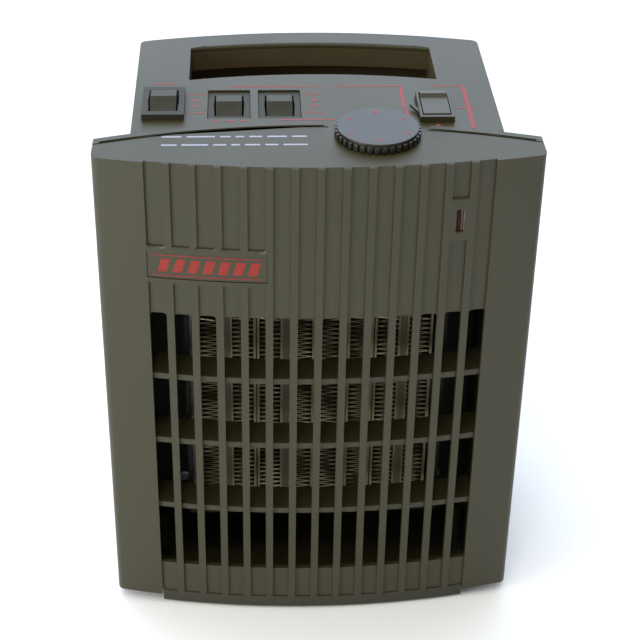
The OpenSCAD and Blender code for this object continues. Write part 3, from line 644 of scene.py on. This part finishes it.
def soft_copy(context, node, name, finish):
    """Round the edges of a CAD part and finish it in its place."""
    part = moulding(node, name)
    soften(part, context.scene.heater_shell.edge)
    finish_piece(part, node, finish, [node])


class HEATER_OT_housing(bpy.types.Operator):
    """Round the edges of the housing's walls and of the rear grille"""
    bl_idname = "heater.housing"
    bl_label = "Housing"

    def execute(self, context):
        soft_copy(context, "housing", "housing_walls", "housing")
        soft_copy(context, "rear_grille", "grille_panel", "housing")
        return {"FINISHED"}


class HEATER_OT_control_panel(bpy.types.Operator):
    """Shape the top plate: a full round on the finger bar and small rounds elsewhere"""
    bl_idname = "heater.control_panel"
    bl_label = "Control panel"

    def execute(self, context):
        shell = context.scene.heater_shell
        panel = moulding("control_panel", "top_plate")
        bpy.ops.object.mode_set(mode="EDIT")
        pocket_rear = frame["record"]["physics"]["openings"][0]["box_m"][1][1]
        bow_of_bar = 8 * MM

        def on_bar(edge):
            faces, point = edge.link_faces, middle(edge)
            if len(faces) != 2 or point.y < pocket_rear - bow_of_bar or abs(point.z - TOP_Z) > 5 * NEAR:
                return False
            return max(face.normal.z for face in faces) > 0.9 and min(face.normal.y for face in faces) < -0.9

        pick(panel, "EDGE", on_bar)
        bevel(shell.bar_edge, 5)
        soften(panel, shell.edge)
        finish_piece(panel, "control_panel", "housing", ["control_panel"])

        # The lip fills the joint round the tongue. It lies a hair below the top, and stops short of
        # the open line between the cover and the panel.
        depth, below, short = 1 * MM, 0.02 * MM, 2.6 * MM
        lip = start("tongue_lip", bpy.ops.mesh.primitive_cylinder_add, vertices=180,
                    radius=TONGUE_R + shell.tongue_gap + shell.edge, depth=depth,
                    location=(DIAL_CENTRE.x, DIAL_CENTRE.y, TOP_Z - below - depth / 2))
        pick(lip, "FACE", lambda face: abs(face.normal.z) > 0.9)
        bpy.ops.mesh.inset(thickness=shell.tongue_gap + 2.2 * shell.edge)
        bpy.ops.mesh.bridge_edge_loops()
        slice_at((DIAL_CENTRE.x, COVER_HIGH.y - short, 0), (0.08, 1, 0),
                 clear_outer=True, use_fill=True)
        face_outwards(lip)
        finish_piece(lip, "control_panel", "housing")
        return {"FINISHED"}


class HEATER_OT_dark_mouldings(bpy.types.Operator):
    """Round the edges of the finger pocket's liner, the base and the cable gland"""
    bl_idname = "heater.dark_mouldings"
    bl_label = "Liner, base and gland"

    def execute(self, context):
        soft_copy(context, "handle_liner", "pocket_liner", "dark")
        soft_copy(context, "base_plate", "base_moulding", "base")
        soft_copy(context, "mains_gland", "cable_gland", "rubber")
        return {"FINISHED"}


class HEATER_OT_dial(bpy.types.Operator):
    """Model the thermostat dial: a smooth cap over a ring of grip ribs"""
    bl_idname = "heater.dial"
    bl_label = "Dial"

    def execute(self, context):
        dial = context.scene.heater_dial
        per_rib, first, last = 8, 2, 6
        columns = dial.flutes * per_rib
        core = (DIAL_HIGH.x - DIAL_LOW.x) / 2 - dial.flute_depth
        ledge = DIAL_HIGH.z - dial.ledge
        knob = start("dial_knob", bpy.ops.mesh.primitive_cylinder_add, vertices=columns, radius=core,
                     depth=DIAL_HIGH.z - DIAL_LOW.z, location=DIAL_CENTRE)
        slice_at((0, 0, ledge), (0, 0, 1))

        def in_rib(face):
            point = face.calc_center_median() - DIAL_CENTRE
            column = math.floor(math.atan2(point.y, point.x) / math.tau * columns) % per_rib
            below = abs(face.normal.z) < 0.1 and point.z + DIAL_CENTRE.z < ledge
            return below and first <= column <= last

        def on_rib(edge, share):
            point = middle(edge) - DIAL_CENTRE
            return math.hypot(point.x, point.y) > core + share * dial.flute_depth

        pick(knob, "FACE", in_rib)
        bpy.ops.mesh.extrude_region_shrink_fatten(TRANSFORM_OT_shrink_fatten={"value": dial.flute_depth})
        pick(knob, "EDGE", lambda edge: rise_of(edge) > 1 * MM and is_sharp(edge) and on_rib(edge, 0.6))
        bevel(0.3 * MM, 2)
        pick(knob, "EDGE", lambda edge: abs(middle(edge).z - ledge) < NEAR and is_sharp(edge, 60)
             and on_rib(edge, 0.8))
        bevel(0.7 * MM, 2)
        pick(knob, "EDGE", lambda edge: is_sharp(edge, 60) and middle(edge).z > DIAL_HIGH.z - NEAR)
        bevel(dial.rim, 4)
        pick(knob, "FACE", lambda face: face.normal.z < -0.9 and face.calc_area() > core * core)
        bpy.ops.mesh.inset(thickness=1.8 * MM)
        extrude((0, 0, 2.4 * MM))
        finish_piece(knob, "dial", "dial", ["dial"])
        return {"FINISHED"}


def rocker_solid(switches, index, tilt, profile):
    """One rocker, whose top follows a profile of (share of the half length, height), front to rear."""
    low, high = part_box(f"rocker_{index}")
    pivot = Vector(PIVOT_OF[f"key_{index}_rock"])
    ridged = len(profile) == 3
    play = 1 if ridged else 0.3
    half_x = (high.x - low.x) / 2 - switches.pin - switches.slimmer * play
    half_y = (high.y - low.y) / 2 - switches.shorter * play
    depth = switches.pivot_drop + 2.5 * MM
    key = start(f"rocker_key_{index}", bpy.ops.mesh.primitive_cube_add, size=1,
                location=(0, 0, switches.pivot_drop - depth / 2), scale=(2 * half_x, 2 * half_y, depth))
    for share, height in profile[1:-1]:
        slice_at((0, share * half_y, 0), (0, 1, 0))
    for share, height in profile:
        pick(key, "VERT", lambda vert: vert.co.z > 0 and abs(vert.co.y - share * half_y) < NEAR)
        shift((0, 0, height))
    if not ridged:
        pick(key, "FACE", lambda face: face.normal.y > 0.9)
        shift((0, -switches.swing_room, 0))
    else:
        pick(key, "FACE", lambda face: face.normal.z > 0.5)
        bpy.ops.mesh.inset(thickness=1.2 * MM, use_individual=True)
        bpy.ops.mesh.subdivide(number_cuts=5)
        border = 2 * MM
        pick(key, "VERT", lambda vert: vert.co.z > border and abs(vert.co.x) < half_x - border
             and border - half_y < vert.co.y < profile[1][0] * half_y - border)
        shift((0, 0, -switches.dish))
    pick(key, "EDGE", lambda edge: is_sharp(edge, 40))
    bevel(0.4 * MM, 3)
    pick(key, "EDGE", lambda edge: is_sharp(edge, 12) and middle(edge).z > switches.pivot_drop)
    bevel(0.2 * MM, 2)
    leave_edit_mode()
    key.data.transform(Matrix.Translation(pivot) @ Matrix.Rotation(tilt, 4, "X"))
    return key


class HEATER_OT_rockers(bpy.types.Operator):
    """Model the four rockers: three with a ridge and a finger dish, one a flat paddle with a step"""
    bl_idname = "heater.rockers"
    bl_label = "Rockers"

    def execute(self, context):
        switches = context.scene.heater_switches
        stepped = ((-1, 0.35 * MM), (0.42, 0.6 * MM), (0.5, 1.1 * MM), (0.62, 2 * MM), (1, 1.9 * MM))
        for index in range(1, 5):
            node = f"rocker_{index}"
            low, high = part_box(node)
            ridge = (high.y - low.y) / 2 * math.tan(switches.face)
            ridged = ((-1, 0), (0.1, ridge), (1, 0))
            if index == PADDLE:
                key = rocker_solid(switches, index, 0, stepped)
            else:
                key = rocker_solid(switches, index, switches.tilt, ridged)
            finish_piece(key, node, "paddle" if index == PADDLE else "keys", [node], smooth=20)
        return {"FINISHED"}


class HEATER_OT_bezels(bpy.types.Operator):
    """Round the four switch bezels and open the curved gaps beside their rockers"""
    bl_idname = "heater.bezels"
    bl_label = "Switch bezels"

    def execute(self, context):
        switches = context.scene.heater_switches
        depth, lead, end_gap = 3 * MM, 0.5 * MM, 0.3 * MM
        for index in range(1, 5):
            node = f"switch_housing_{index}"
            if index == PADDLE:
                soft_copy(context, node, f"switch_bezel_{index}", "housing")
                continue
            bezel = moulding(node, f"switch_bezel_{index}")
            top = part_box(node)[1].z
            low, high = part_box(f"rocker_{index}")
            pivot = Vector(PIVOT_OF[f"key_{index}_rock"])
            half_x = (high.x - low.x) / 2 - switches.pin + switches.side_gap
            half_y = (high.y - low.y) / 2
            gap = start("gap_tool", bpy.ops.mesh.primitive_cylinder_add, vertices=96, radius=1,
                        depth=depth, location=(pivot.x, pivot.y, top + lead - depth / 2),
                        scale=(half_x, 2.2 * half_y, 1))
            for way in (-1, 1):
                slice_at((0, pivot.y + way * (half_y + end_gap), 0), (0, way, 0),
                         clear_outer=True, use_fill=True)
            cut(bezel, gap)
            soften(bezel, context.scene.heater_shell.edge * 0.8)
            finish_piece(bezel, node, "bezel", [node])
        return {"FINISHED"}


class HEATER_OT_lens(bpy.types.Operator):
    """Model the pilot lamp's lens: a fluted window on a thin flange"""
    bl_idname = "heater.lens"
    bl_label = "Pilot lens"

    def execute(self, context):
        low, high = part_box("lamp_lens")
        margin, thickness, sink = 2 * MM, 2.8 * MM, 0.95 * MM
        half_x = (high.x - low.x) / 2 - margin
        height = high.z - low.z - 2 * margin
        x = (high.x + low.x) / 2
        y = front_y(x, context.scene.heater_shell.front_bow) + sink
        z = (low.z + high.z) / 2
        window = start("lens_window", bpy.ops.mesh.primitive_cube_add, size=1,
                       location=(x, y + thickness / 2, z), scale=(2 * half_x, thickness, height))
        flutes = 4
        width = 2 * half_x / (2 * flutes)
        for i in range(1, 2 * flutes):
            slice_at((x - half_x + i * width, 0, 0), (1, 0, 0))

        def in_flute(edge):
            upright = abs(edge.verts[0].co.x - edge.verts[1].co.x) < NEAR
            return (upright and middle(edge).y < y + NEAR
                    and round((middle(edge).x - x + half_x) / width) % 2 == 1)

        pick(window, "EDGE", in_flute)
        shift((0, 0.35 * MM, 0))
        pick(window, "FACE", lambda face: face.normal.y > 0.9)
        extrude((0, 0.1 * MM, 0))
        resize(((half_x + 1.5 * MM) / half_x, 1, (height + 3 * MM) / height), (x, y, z))
        extrude((0, 1.0 * MM, 0))
        finish_piece(window, "lamp_lens", "lens", ["lamp_lens"], smooth=50)
        return {"FINISHED"}


def fin_column(context, x, low, high):
    """One folded fin: two legs are modelled, repeated up the block and given the foil's thickness."""
    block = context.scene.heater_block
    span = block.fin_width - block.foil
    rise = block.fin_pitch / 2
    repeats = int((high.z - low.z - block.foil) / block.fin_pitch)
    centre = (x, (low.y + high.y) / 2, low.z + block.foil)
    fin = start("fin", bpy.ops.mesh.primitive_plane_add, size=1, location=centre)
    bpy.ops.mesh.select_all(action="SELECT")
    resize((span, high.y - low.y, 1), centre)
    pick(fin, "EDGE", lambda edge: middle(edge).x > x + 0.4 * span)
    shift((0, 0, rise))
    extrude((-span, 0, rise))
    apply_modifier(fin, "ARRAY", count=repeats, use_relative_offset=False, use_constant_offset=True,
                   constant_offset_displace=(0, 0, block.fin_pitch), use_merge_vertices=True,
                   merge_threshold=NEAR)
    apply_modifier(fin, "SOLIDIFY", thickness=block.foil, offset=0, use_even_offset=False)
    return fin


class HEATER_OT_fins(bpy.types.Operator):
    """Model the folded aluminium fins on both sides of each ceramic strip"""
    bl_idname = "heater.fins"
    bl_label = "Heating fins"

    def execute(self, context):
        block = context.scene.heater_block
        strips_low, strips_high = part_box("ptc_strips")
        low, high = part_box("ptc_fins")
        pitch = (strips_high.x - strips_low.x - block.strip) / (block.units - 1)
        reach = block.strip / 2 + block.inner_plate + block.fin_width / 2
        first = strips_low.x + block.strip / 2 - reach
        fins = [fin_column(context, first, low, high)]
        for i in range(block.units):
            for side in (0, 2 * reach):
                if i or side:
                    fins.append(copy_of(fins[0], "fin", Matrix.Translation((i * pitch + side, 0, 0))))
        finish_piece(join("folded_fins", fins), "ptc_fins", "fins", ["ptc_fins"], smooth=10)
        return {"FINISHED"}


def screw_part(length):
    """A pan-head screw with a cross recess, its head's face at the origin, pointing up +Z."""
    head_h, shank_r, slot_w, taper = 2 * MM, 1.45 * MM, 3.4 * MM, 0.4
    screw = start("screw", bpy.ops.mesh.primitive_cylinder_add, vertices=40, radius=HEAD_R, depth=head_h,
                  location=(0, 0, head_h / 2))
    pick(screw, "EDGE", lambda edge: is_sharp(edge, 60) and middle(edge).z < NEAR)
    bevel(0.8 * MM, 3)
    pick(screw, "FACE", lambda face: face.normal.z > 0.9)
    bpy.ops.mesh.inset(thickness=HEAD_R - shank_r)
    extrude((0, 0, length - 2 * MM))
    extrude((0, 0, 2 * MM))
    resize((0.25, 0.25, 1))
    for turn in (0, math.pi / 2):
        slot = start("recess", bpy.ops.mesh.primitive_cube_add, size=1, location=(0, 0, 0.4 * MM),
                     rotation=(0, 0, turn), scale=(slot_w, 0.8 * MM, 1.6 * MM))
        pick(slot, "FACE", lambda face: face.normal.z > 0.9)
        resize((taper, taper, 1))
        cut(screw, slot)
    return screw


class HEATER_OT_screws(bpy.types.Operator):
    """Model one cross-head screw of each length and set copies in their places"""
    bl_idname = "heater.screws"
    bl_label = "Screws"

    def execute(self, context):
        to_front = Matrix.Rotation(math.pi / 2, 4, "X")
        to_rear = Matrix.Rotation(-math.pi / 2, 4, "X")
        upright = Matrix.Identity(4)
        groups = (
            ("cover_screws", 14, (0, 2), 1, to_front, "black_steel"),
            ("handle_screws", 10, (0,), 1, to_front, "black_steel"),
            ("duct_screws", 7, (0, 2), 1, to_rear, "steel"),
            ("base_screws", 14, (0, 1), 2, upright, "steel"),
        )
        for node, length, axes, along, turn, finish in groups:
            low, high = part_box(node)
            screw = screw_part(length * MM)
            copies = []
            for spot in corners(node, HEAD_R, axes):
                if 2 not in axes and along == 1:
                    spot.z = (low.z + high.z) / 2
                spot[along] = high[along] if turn is to_front else low[along]
                copies.append(copy_of(screw, node + "_part", Matrix.Translation(spot) @ turn))
            bpy.data.objects.remove(screw)
            finish_piece(join(node.replace("_screws", "_cross_screws"), copies), node, finish, [node])
        return {"FINISHED"}


class HEATER_OT_feet(bpy.types.Operator):
    """Model one rubber foot with a hollow under it and copy it to four corners"""
    bl_idname = "heater.feet"
    bl_label = "Feet"

    def execute(self, context):
        low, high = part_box("feet")
        radius, wall, hollow = 7 * MM, 2.2 * MM, 1 * MM
        height = high.z - low.z
        foot = start("foot", bpy.ops.mesh.primitive_cylinder_add, vertices=64, radius=radius,
                     depth=height, location=(0, 0, height / 2))
        pick(foot, "EDGE", lambda edge: is_sharp(edge, 60) and middle(edge).z < NEAR)
        bevel(0.7 * MM, 4)
        pick(foot, "FACE", lambda face: face.normal.z < -0.999)
        bpy.ops.mesh.inset(thickness=wall)
        extrude((0, 0, hollow))
        resize((0.9, 0.9, 1))
        copies = [copy_of(foot, "foot_part", Matrix.Translation(spot))
                  for spot in corners("feet", radius, (0, 1))]
        bpy.data.objects.remove(foot)
        finish_piece(join("rubber_feet", copies), "feet", "rubber", ["feet"])
        return {"FINISHED"}


def ink_bar(x, y, to_x, to_y, width, z, film):
    """A thin printed bar from one point of a level face to another, given in millimetres."""
    begin, end = Vector((x * MM, y * MM, 0)), Vector((to_x * MM, to_y * MM, 0))
    run = end - begin
    centre = (begin + end) / 2
    bar = start("ink", bpy.ops.mesh.primitive_cube_add, size=1, location=(centre.x, centre.y, z + film / 2),
                rotation=(0, 0, math.atan2(run.y, run.x)), scale=(run.length, width * MM, film))
    pick(bar, "EDGE", lambda edge: rise_of(edge) > film / 2)
    bevel(min(run.length, width * MM) * 0.2, 2)
    return bar


def ink_triangle(x, y, size, turn, z, film):
    """A small printed triangle that points the way it is turned, placed in millimetres."""
    mark = start("ink", bpy.ops.mesh.primitive_cylinder_add, vertices=3, radius=size * MM, depth=film,
                 location=(x * MM, y * MM, z + film / 2), rotation=(0, 0, turn))
    pick(mark, "EDGE", lambda edge: rise_of(edge) > film / 2)
    bevel(size * MM * 0.12, 2)
    return mark


class HEATER_OT_panel_print(bpy.types.Operator):
    """Print the red guide lines and pointers on the control panel"""
    bl_idname = "heater.panel_print"
    bl_label = "Panel print"

    def execute(self, context):
        film = context.scene.heater_shell.film
        thin, fine, thick = 0.95, 0.8, 1.8
        bars = [
            (-77, 13, -66.5, 13, thin), (-41, 10, -1.5, 10, thin), (10.2, 10, 42.5, 10, thin),
            (1, 10, 3, 10, thin), (5.5, 10, 7, 10, thin), (41.8, 9.4, 41.8, -15, 2 * fine),
            (41.8, -16.5, 43.6, -23, 2 * fine), (-48.3, -27.4, -45.5, -27.4, thin),
            (-43, -27.4, -38, -27.4, thin), (-36, -27.4, -32, -27.4, thin),
            (-17.2, -26.3, 8.8, -26.3, thin), (56.5, 10, 72.3, 10, thin),
            (72.3, 9.4, 72.3, -36.4, thick), (66.8, -14.8, 71.3, -14.8, fine),
            (73.3, -14.8, 76.3, -14.8, fine), (54.9, -32.6, 57.1, -32.6, thick),
        ]
        marks = [ink_bar(*bar, TOP_Z, film) for bar in bars]
        for x in (-56.5, -0.6):
            for y in (1.2, -18.6):
                marks += [ink_bar(x - 4, y, x - 1.5, y, thin, TOP_Z, film),
                          ink_bar(x - 0.7, y, x + 4, y, thin, TOP_Z, film)]
            marks.append(ink_triangle(x, -5.6, 2.1, 0, TOP_Z, film))
            marks.append(ink_triangle(x, -11.6, 2.1, math.pi, TOP_Z, film))
        finish_piece(join("panel_print", marks), "control_panel", "red_ink")
        return {"FINISHED"}


class HEATER_OT_cover_print(bpy.types.Operator):
    """Print two rows of plain white dashes on the cover's top strip"""
    bl_idname = "heater.cover_print"
    bl_label = "Cover print"

    def execute(self, context):
        film = context.scene.heater_shell.film
        rows = ((-43.4, (9, 13, 5, 4, 6, 9, 7)), (-51.6, (7, 12, 6, 4, 7, 6, 11)))
        left, stroke, space = -71.5, 1.4, 2.2
        marks = []
        for y, lengths in rows:
            x = left
            for length in lengths:
                marks.append(ink_bar(x, y, x + length, y, stroke, TOP_Z, film))
                x += length + space
        finish_piece(join("cover_print", marks), "front_cover", "white_ink")
        return {"FINISHED"}


class HEATER_OT_dial_marks(bpy.types.Operator):
    """Print the pointer and five small marks on the dial"""
    bl_idname = "heater.dial_marks"
    bl_label = "Dial marks"

    def execute(self, context):
        film = context.scene.heater_shell.film
        ring = 14.6
        marks = []
        for i in range(6):
            angle = math.radians(90 + 60 * i)
            x = DIAL_CENTRE.x / MM + ring * math.cos(angle)
            y = DIAL_CENTRE.y / MM + ring * math.sin(angle)
            if i == 0:
                marks.append(ink_triangle(x, y, 1.9, math.pi, DIAL_HIGH.z, film))
            else:
                reach = 1.0 if i % 2 else 1.4
                dx, dy = reach * math.cos(angle), reach * math.sin(angle)
                marks.append(ink_bar(x - dx, y - dy, x + dx, y + dy, 1.0, DIAL_HIGH.z, film))
        finish_piece(join("dial_marks", marks), "dial", "red_ink")
        return {"FINISHED"}


class HEATER_OT_badge(bpy.types.Operator):
    """Print seven slanted bars between two fine lines on the badge"""
    bl_idname = "heater.badge"
    bl_label = "Badge"

    def execute(self, context):
        shell = context.scene.heater_shell
        low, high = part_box("badge_plate")
        width = high.x - low.x
        height = high.z - low.z
        bars, slant_of_bar = 7, 2 * MM
        shapes = []
        for z in (low.z + 0.11 * height, high.z - 0.11 * height):
            shapes.append(((low.x + high.x) / 2, z, 0.92 * width, 0.5 * MM, 0))
        for i in range(bars):
            x = low.x + (0.5 + i) * width * 0.88 / bars + 0.06 * width
            shapes.append((x, (low.z + high.z) / 2, 0.55 * width / bars, 0.5 * height, slant_of_bar))
        marks = []
        step = 2 * MM  # short enough for the bars to follow the bow
        for x, z, long, tall, slant in shapes:
            bar = start("ink", bpy.ops.mesh.primitive_cube_add, size=1, location=(x, 0, z),
                        scale=(long, shell.film, tall))
            pick(bar, "VERT", lambda vert: vert.co.z > z)
            shift((slant, 0, 0))
            for k in range(1, int(long / step)):
                slice_at((x - long / 2 + k * step, 0, 0), (1, 0, 0))
            marks.append(bar)
        badge = join("badge_bars", marks)
        sink = 0.5 * MM
        for vert in badge.data.vertices:
            vert.co.y += front_y(vert.co.x, shell.front_bow) + sink - shell.film / 2
        finish_piece(badge, "badge_plate", "badge_ink")
        return {"FINISHED"}


class HEATER_OT_stage(bpy.types.Operator):
    """Set the pale floor, the soft lights and the camera"""
    bl_idname = "heater.stage"
    bl_label = "Stage"

    def execute(self, context):
        white = (1, 1, 1, 1)
        floor = start("floor", bpy.ops.mesh.primitive_plane_add, size=40)
        leave_edit_mode()
        # Pale paper that fades to white with distance. Only the camera sees the fade, so it lights nothing.
        paper, place = new_material("studio_paper")
        tone = blend(paper, noise(paper, place, 1 / 3.0), (0.88, 0.88, 0.88, 1), (0.9, 0.9, 0.9, 1))
        lit = add_node(paper, "ShaderNodeBsdfPrincipled", {"Roughness": 0.9}, {"Base Color": tone})
        away = add_node(paper, "ShaderNodeVectorMath", {"operation": "LENGTH"}, {0: place}).outputs["Value"]
        fade = remap(paper, away, {"From Min": 0.6, "From Max": 1.8})
        seen = add_node(paper, "ShaderNodeLightPath").outputs["Is Camera Ray"]
        share = add_node(paper, "ShaderNodeMath", {"operation": "MULTIPLY"}, {0: fade, 1: seen})
        glow = add_node(paper, "ShaderNodeEmission", {"Color": white})
        sweep = add_node(paper, "ShaderNodeMixShader",
                         links={0: share.outputs[0], 1: lit.outputs[0], 2: glow.outputs[0]})
        add_node(paper, "ShaderNodeOutputMaterial", links={"Surface": sweep.outputs[0]})
        floor.data.materials.append(paper)

        # A dim room with a broad bluish window behind; the camera sees plain white instead.
        world = bpy.data.worlds.new("studio")
        context.scene.world = world
        world.use_nodes = True
        world.node_tree.nodes.clear()
        look = add_node(world, "ShaderNodeTexCoord").outputs["Generated"]
        rearward = add_node(world, "ShaderNodeVectorMath",
                            {"operation": "DOT_PRODUCT", 1: (-0.08, 0.86, 0.5)}, {0: look}).outputs["Value"]
        window = remap(world, rearward,
                       {"interpolation_type": "SMOOTHSTEP", "From Min": 0.35, "From Max": 0.97})
        room = blend(world, window, (0.275, 0.27, 0.25, 1), (1.82, 2.1, 2.56, 1))
        soft = add_node(world, "ShaderNodeBackground", links={"Color": room})
        plain = add_node(world, "ShaderNodeBackground", {"Color": white})
        seen = add_node(world, "ShaderNodeLightPath").outputs["Is Camera Ray"]
        both = add_node(world, "ShaderNodeMixShader",
                        links={0: seen, 1: soft.outputs[0], 2: plain.outputs[0]})
        add_node(world, "ShaderNodeOutputWorld", links={"Surface": both.outputs[0]})

        aim = Vector((0, 0, 0.13))
        for name, spot, size, energy, colour in (
                ("top_light", (-0.2, -0.1, 1.7), 1.6, 19, (1.0, 0.99, 0.96)),
                ("front_light", (-0.25, -1.05, 1.55), 0.5, 7, (1.0, 0.99, 0.93)),
                ("key_light", (-1.5, -0.8, 0.7), 0.7, 13, (1.0, 0.99, 0.92)),
                ("low_fill", (-0.95, -0.85, 0.12), 0.5, 7, (0.86, 0.94, 1.0))):
            lamp = bpy.data.lights.new(name, "AREA")
            lamp.size = size
            lamp.energy = energy
            lamp.color = colour
            light = bpy.data.objects.new(name, lamp)
            context.collection.objects.link(light)
            light.location = spot
            light.rotation_euler = (aim - Vector(spot)).to_track_quat("-Z", "Y").to_euler()
            light.visible_glossy = name != "top_light"

        camera = bpy.data.objects.new("camera", bpy.data.cameras.new("camera"))
        context.collection.objects.link(camera)
        camera.data.lens = 93.0
        camera.data.sensor_width = 36.0
        camera.data.clip_start = 0.01
        azimuth, elevation, roll = (math.radians(angle) for angle in (-3.08, 33.01, 1.10))
        back = Vector((math.sin(azimuth) * math.cos(elevation), -math.cos(azimuth) * math.cos(elevation),
                       math.sin(elevation)))
        right = Vector((math.cos(azimuth), math.sin(azimuth), 0))
        up = back.cross(right)
        axes = Matrix((math.cos(roll) * right + math.sin(roll) * up,
                       math.cos(roll) * up - math.sin(roll) * right, back)).transposed()
        camera.matrix_world = Matrix.Translation((-0.03427, -0.72198, 0.60296)) @ axes.to_4x4()
        context.scene.camera = camera
        context.scene.view_settings.view_transform = "Standard"
        return {"FINISHED"}


OPERATORS = (
    HEATER_OT_finishes, HEATER_OT_front_cover, HEATER_OT_housing, HEATER_OT_control_panel,
    HEATER_OT_dark_mouldings, HEATER_OT_dial, HEATER_OT_rockers, HEATER_OT_bezels, HEATER_OT_lens,
    HEATER_OT_fins, HEATER_OT_screws, HEATER_OT_feet, HEATER_OT_panel_print, HEATER_OT_cover_print,
    HEATER_OT_dial_marks, HEATER_OT_badge, HEATER_OT_stage,
)


class HEATER_PT_panel(bpy.types.Panel):
    """Sidebar panel that lists the heater's settings and its pieces"""
    bl_idname = "HEATER_PT_panel"
    bl_label = "Ceramic fan heater"
    bl_space_type = "VIEW_3D"
    bl_region_type = "UI"
    bl_category = "Heater"

    def draw(self, context):
        for name, group in SETTINGS.items():
            box = self.layout.box()
            for key in group.__annotations__:
                box.prop(getattr(context.scene, name), key)
        for operator in OPERATORS:
            self.layout.operator(operator.bl_idname)


def register():
    for name, group in SETTINGS.items():
        bpy.utils.register_class(group)
        setattr(bpy.types.Scene, name, bpy.props.PointerProperty(type=group))
    for operator in OPERATORS:
        bpy.utils.register_class(operator)
    bpy.utils.register_class(HEATER_PT_panel)


def unregister():
    bpy.utils.unregister_class(HEATER_PT_panel)
    for operator in reversed(OPERATORS):
        bpy.utils.unregister_class(operator)
    for name, group in SETTINGS.items():
        delattr(bpy.types.Scene, name)
        bpy.utils.unregister_class(group)


def main():
    register()
    for operator in OPERATORS:
        getattr(bpy.ops.heater, operator.bl_idname.split(".")[1])()


if __name__ == "__main__":
    main()
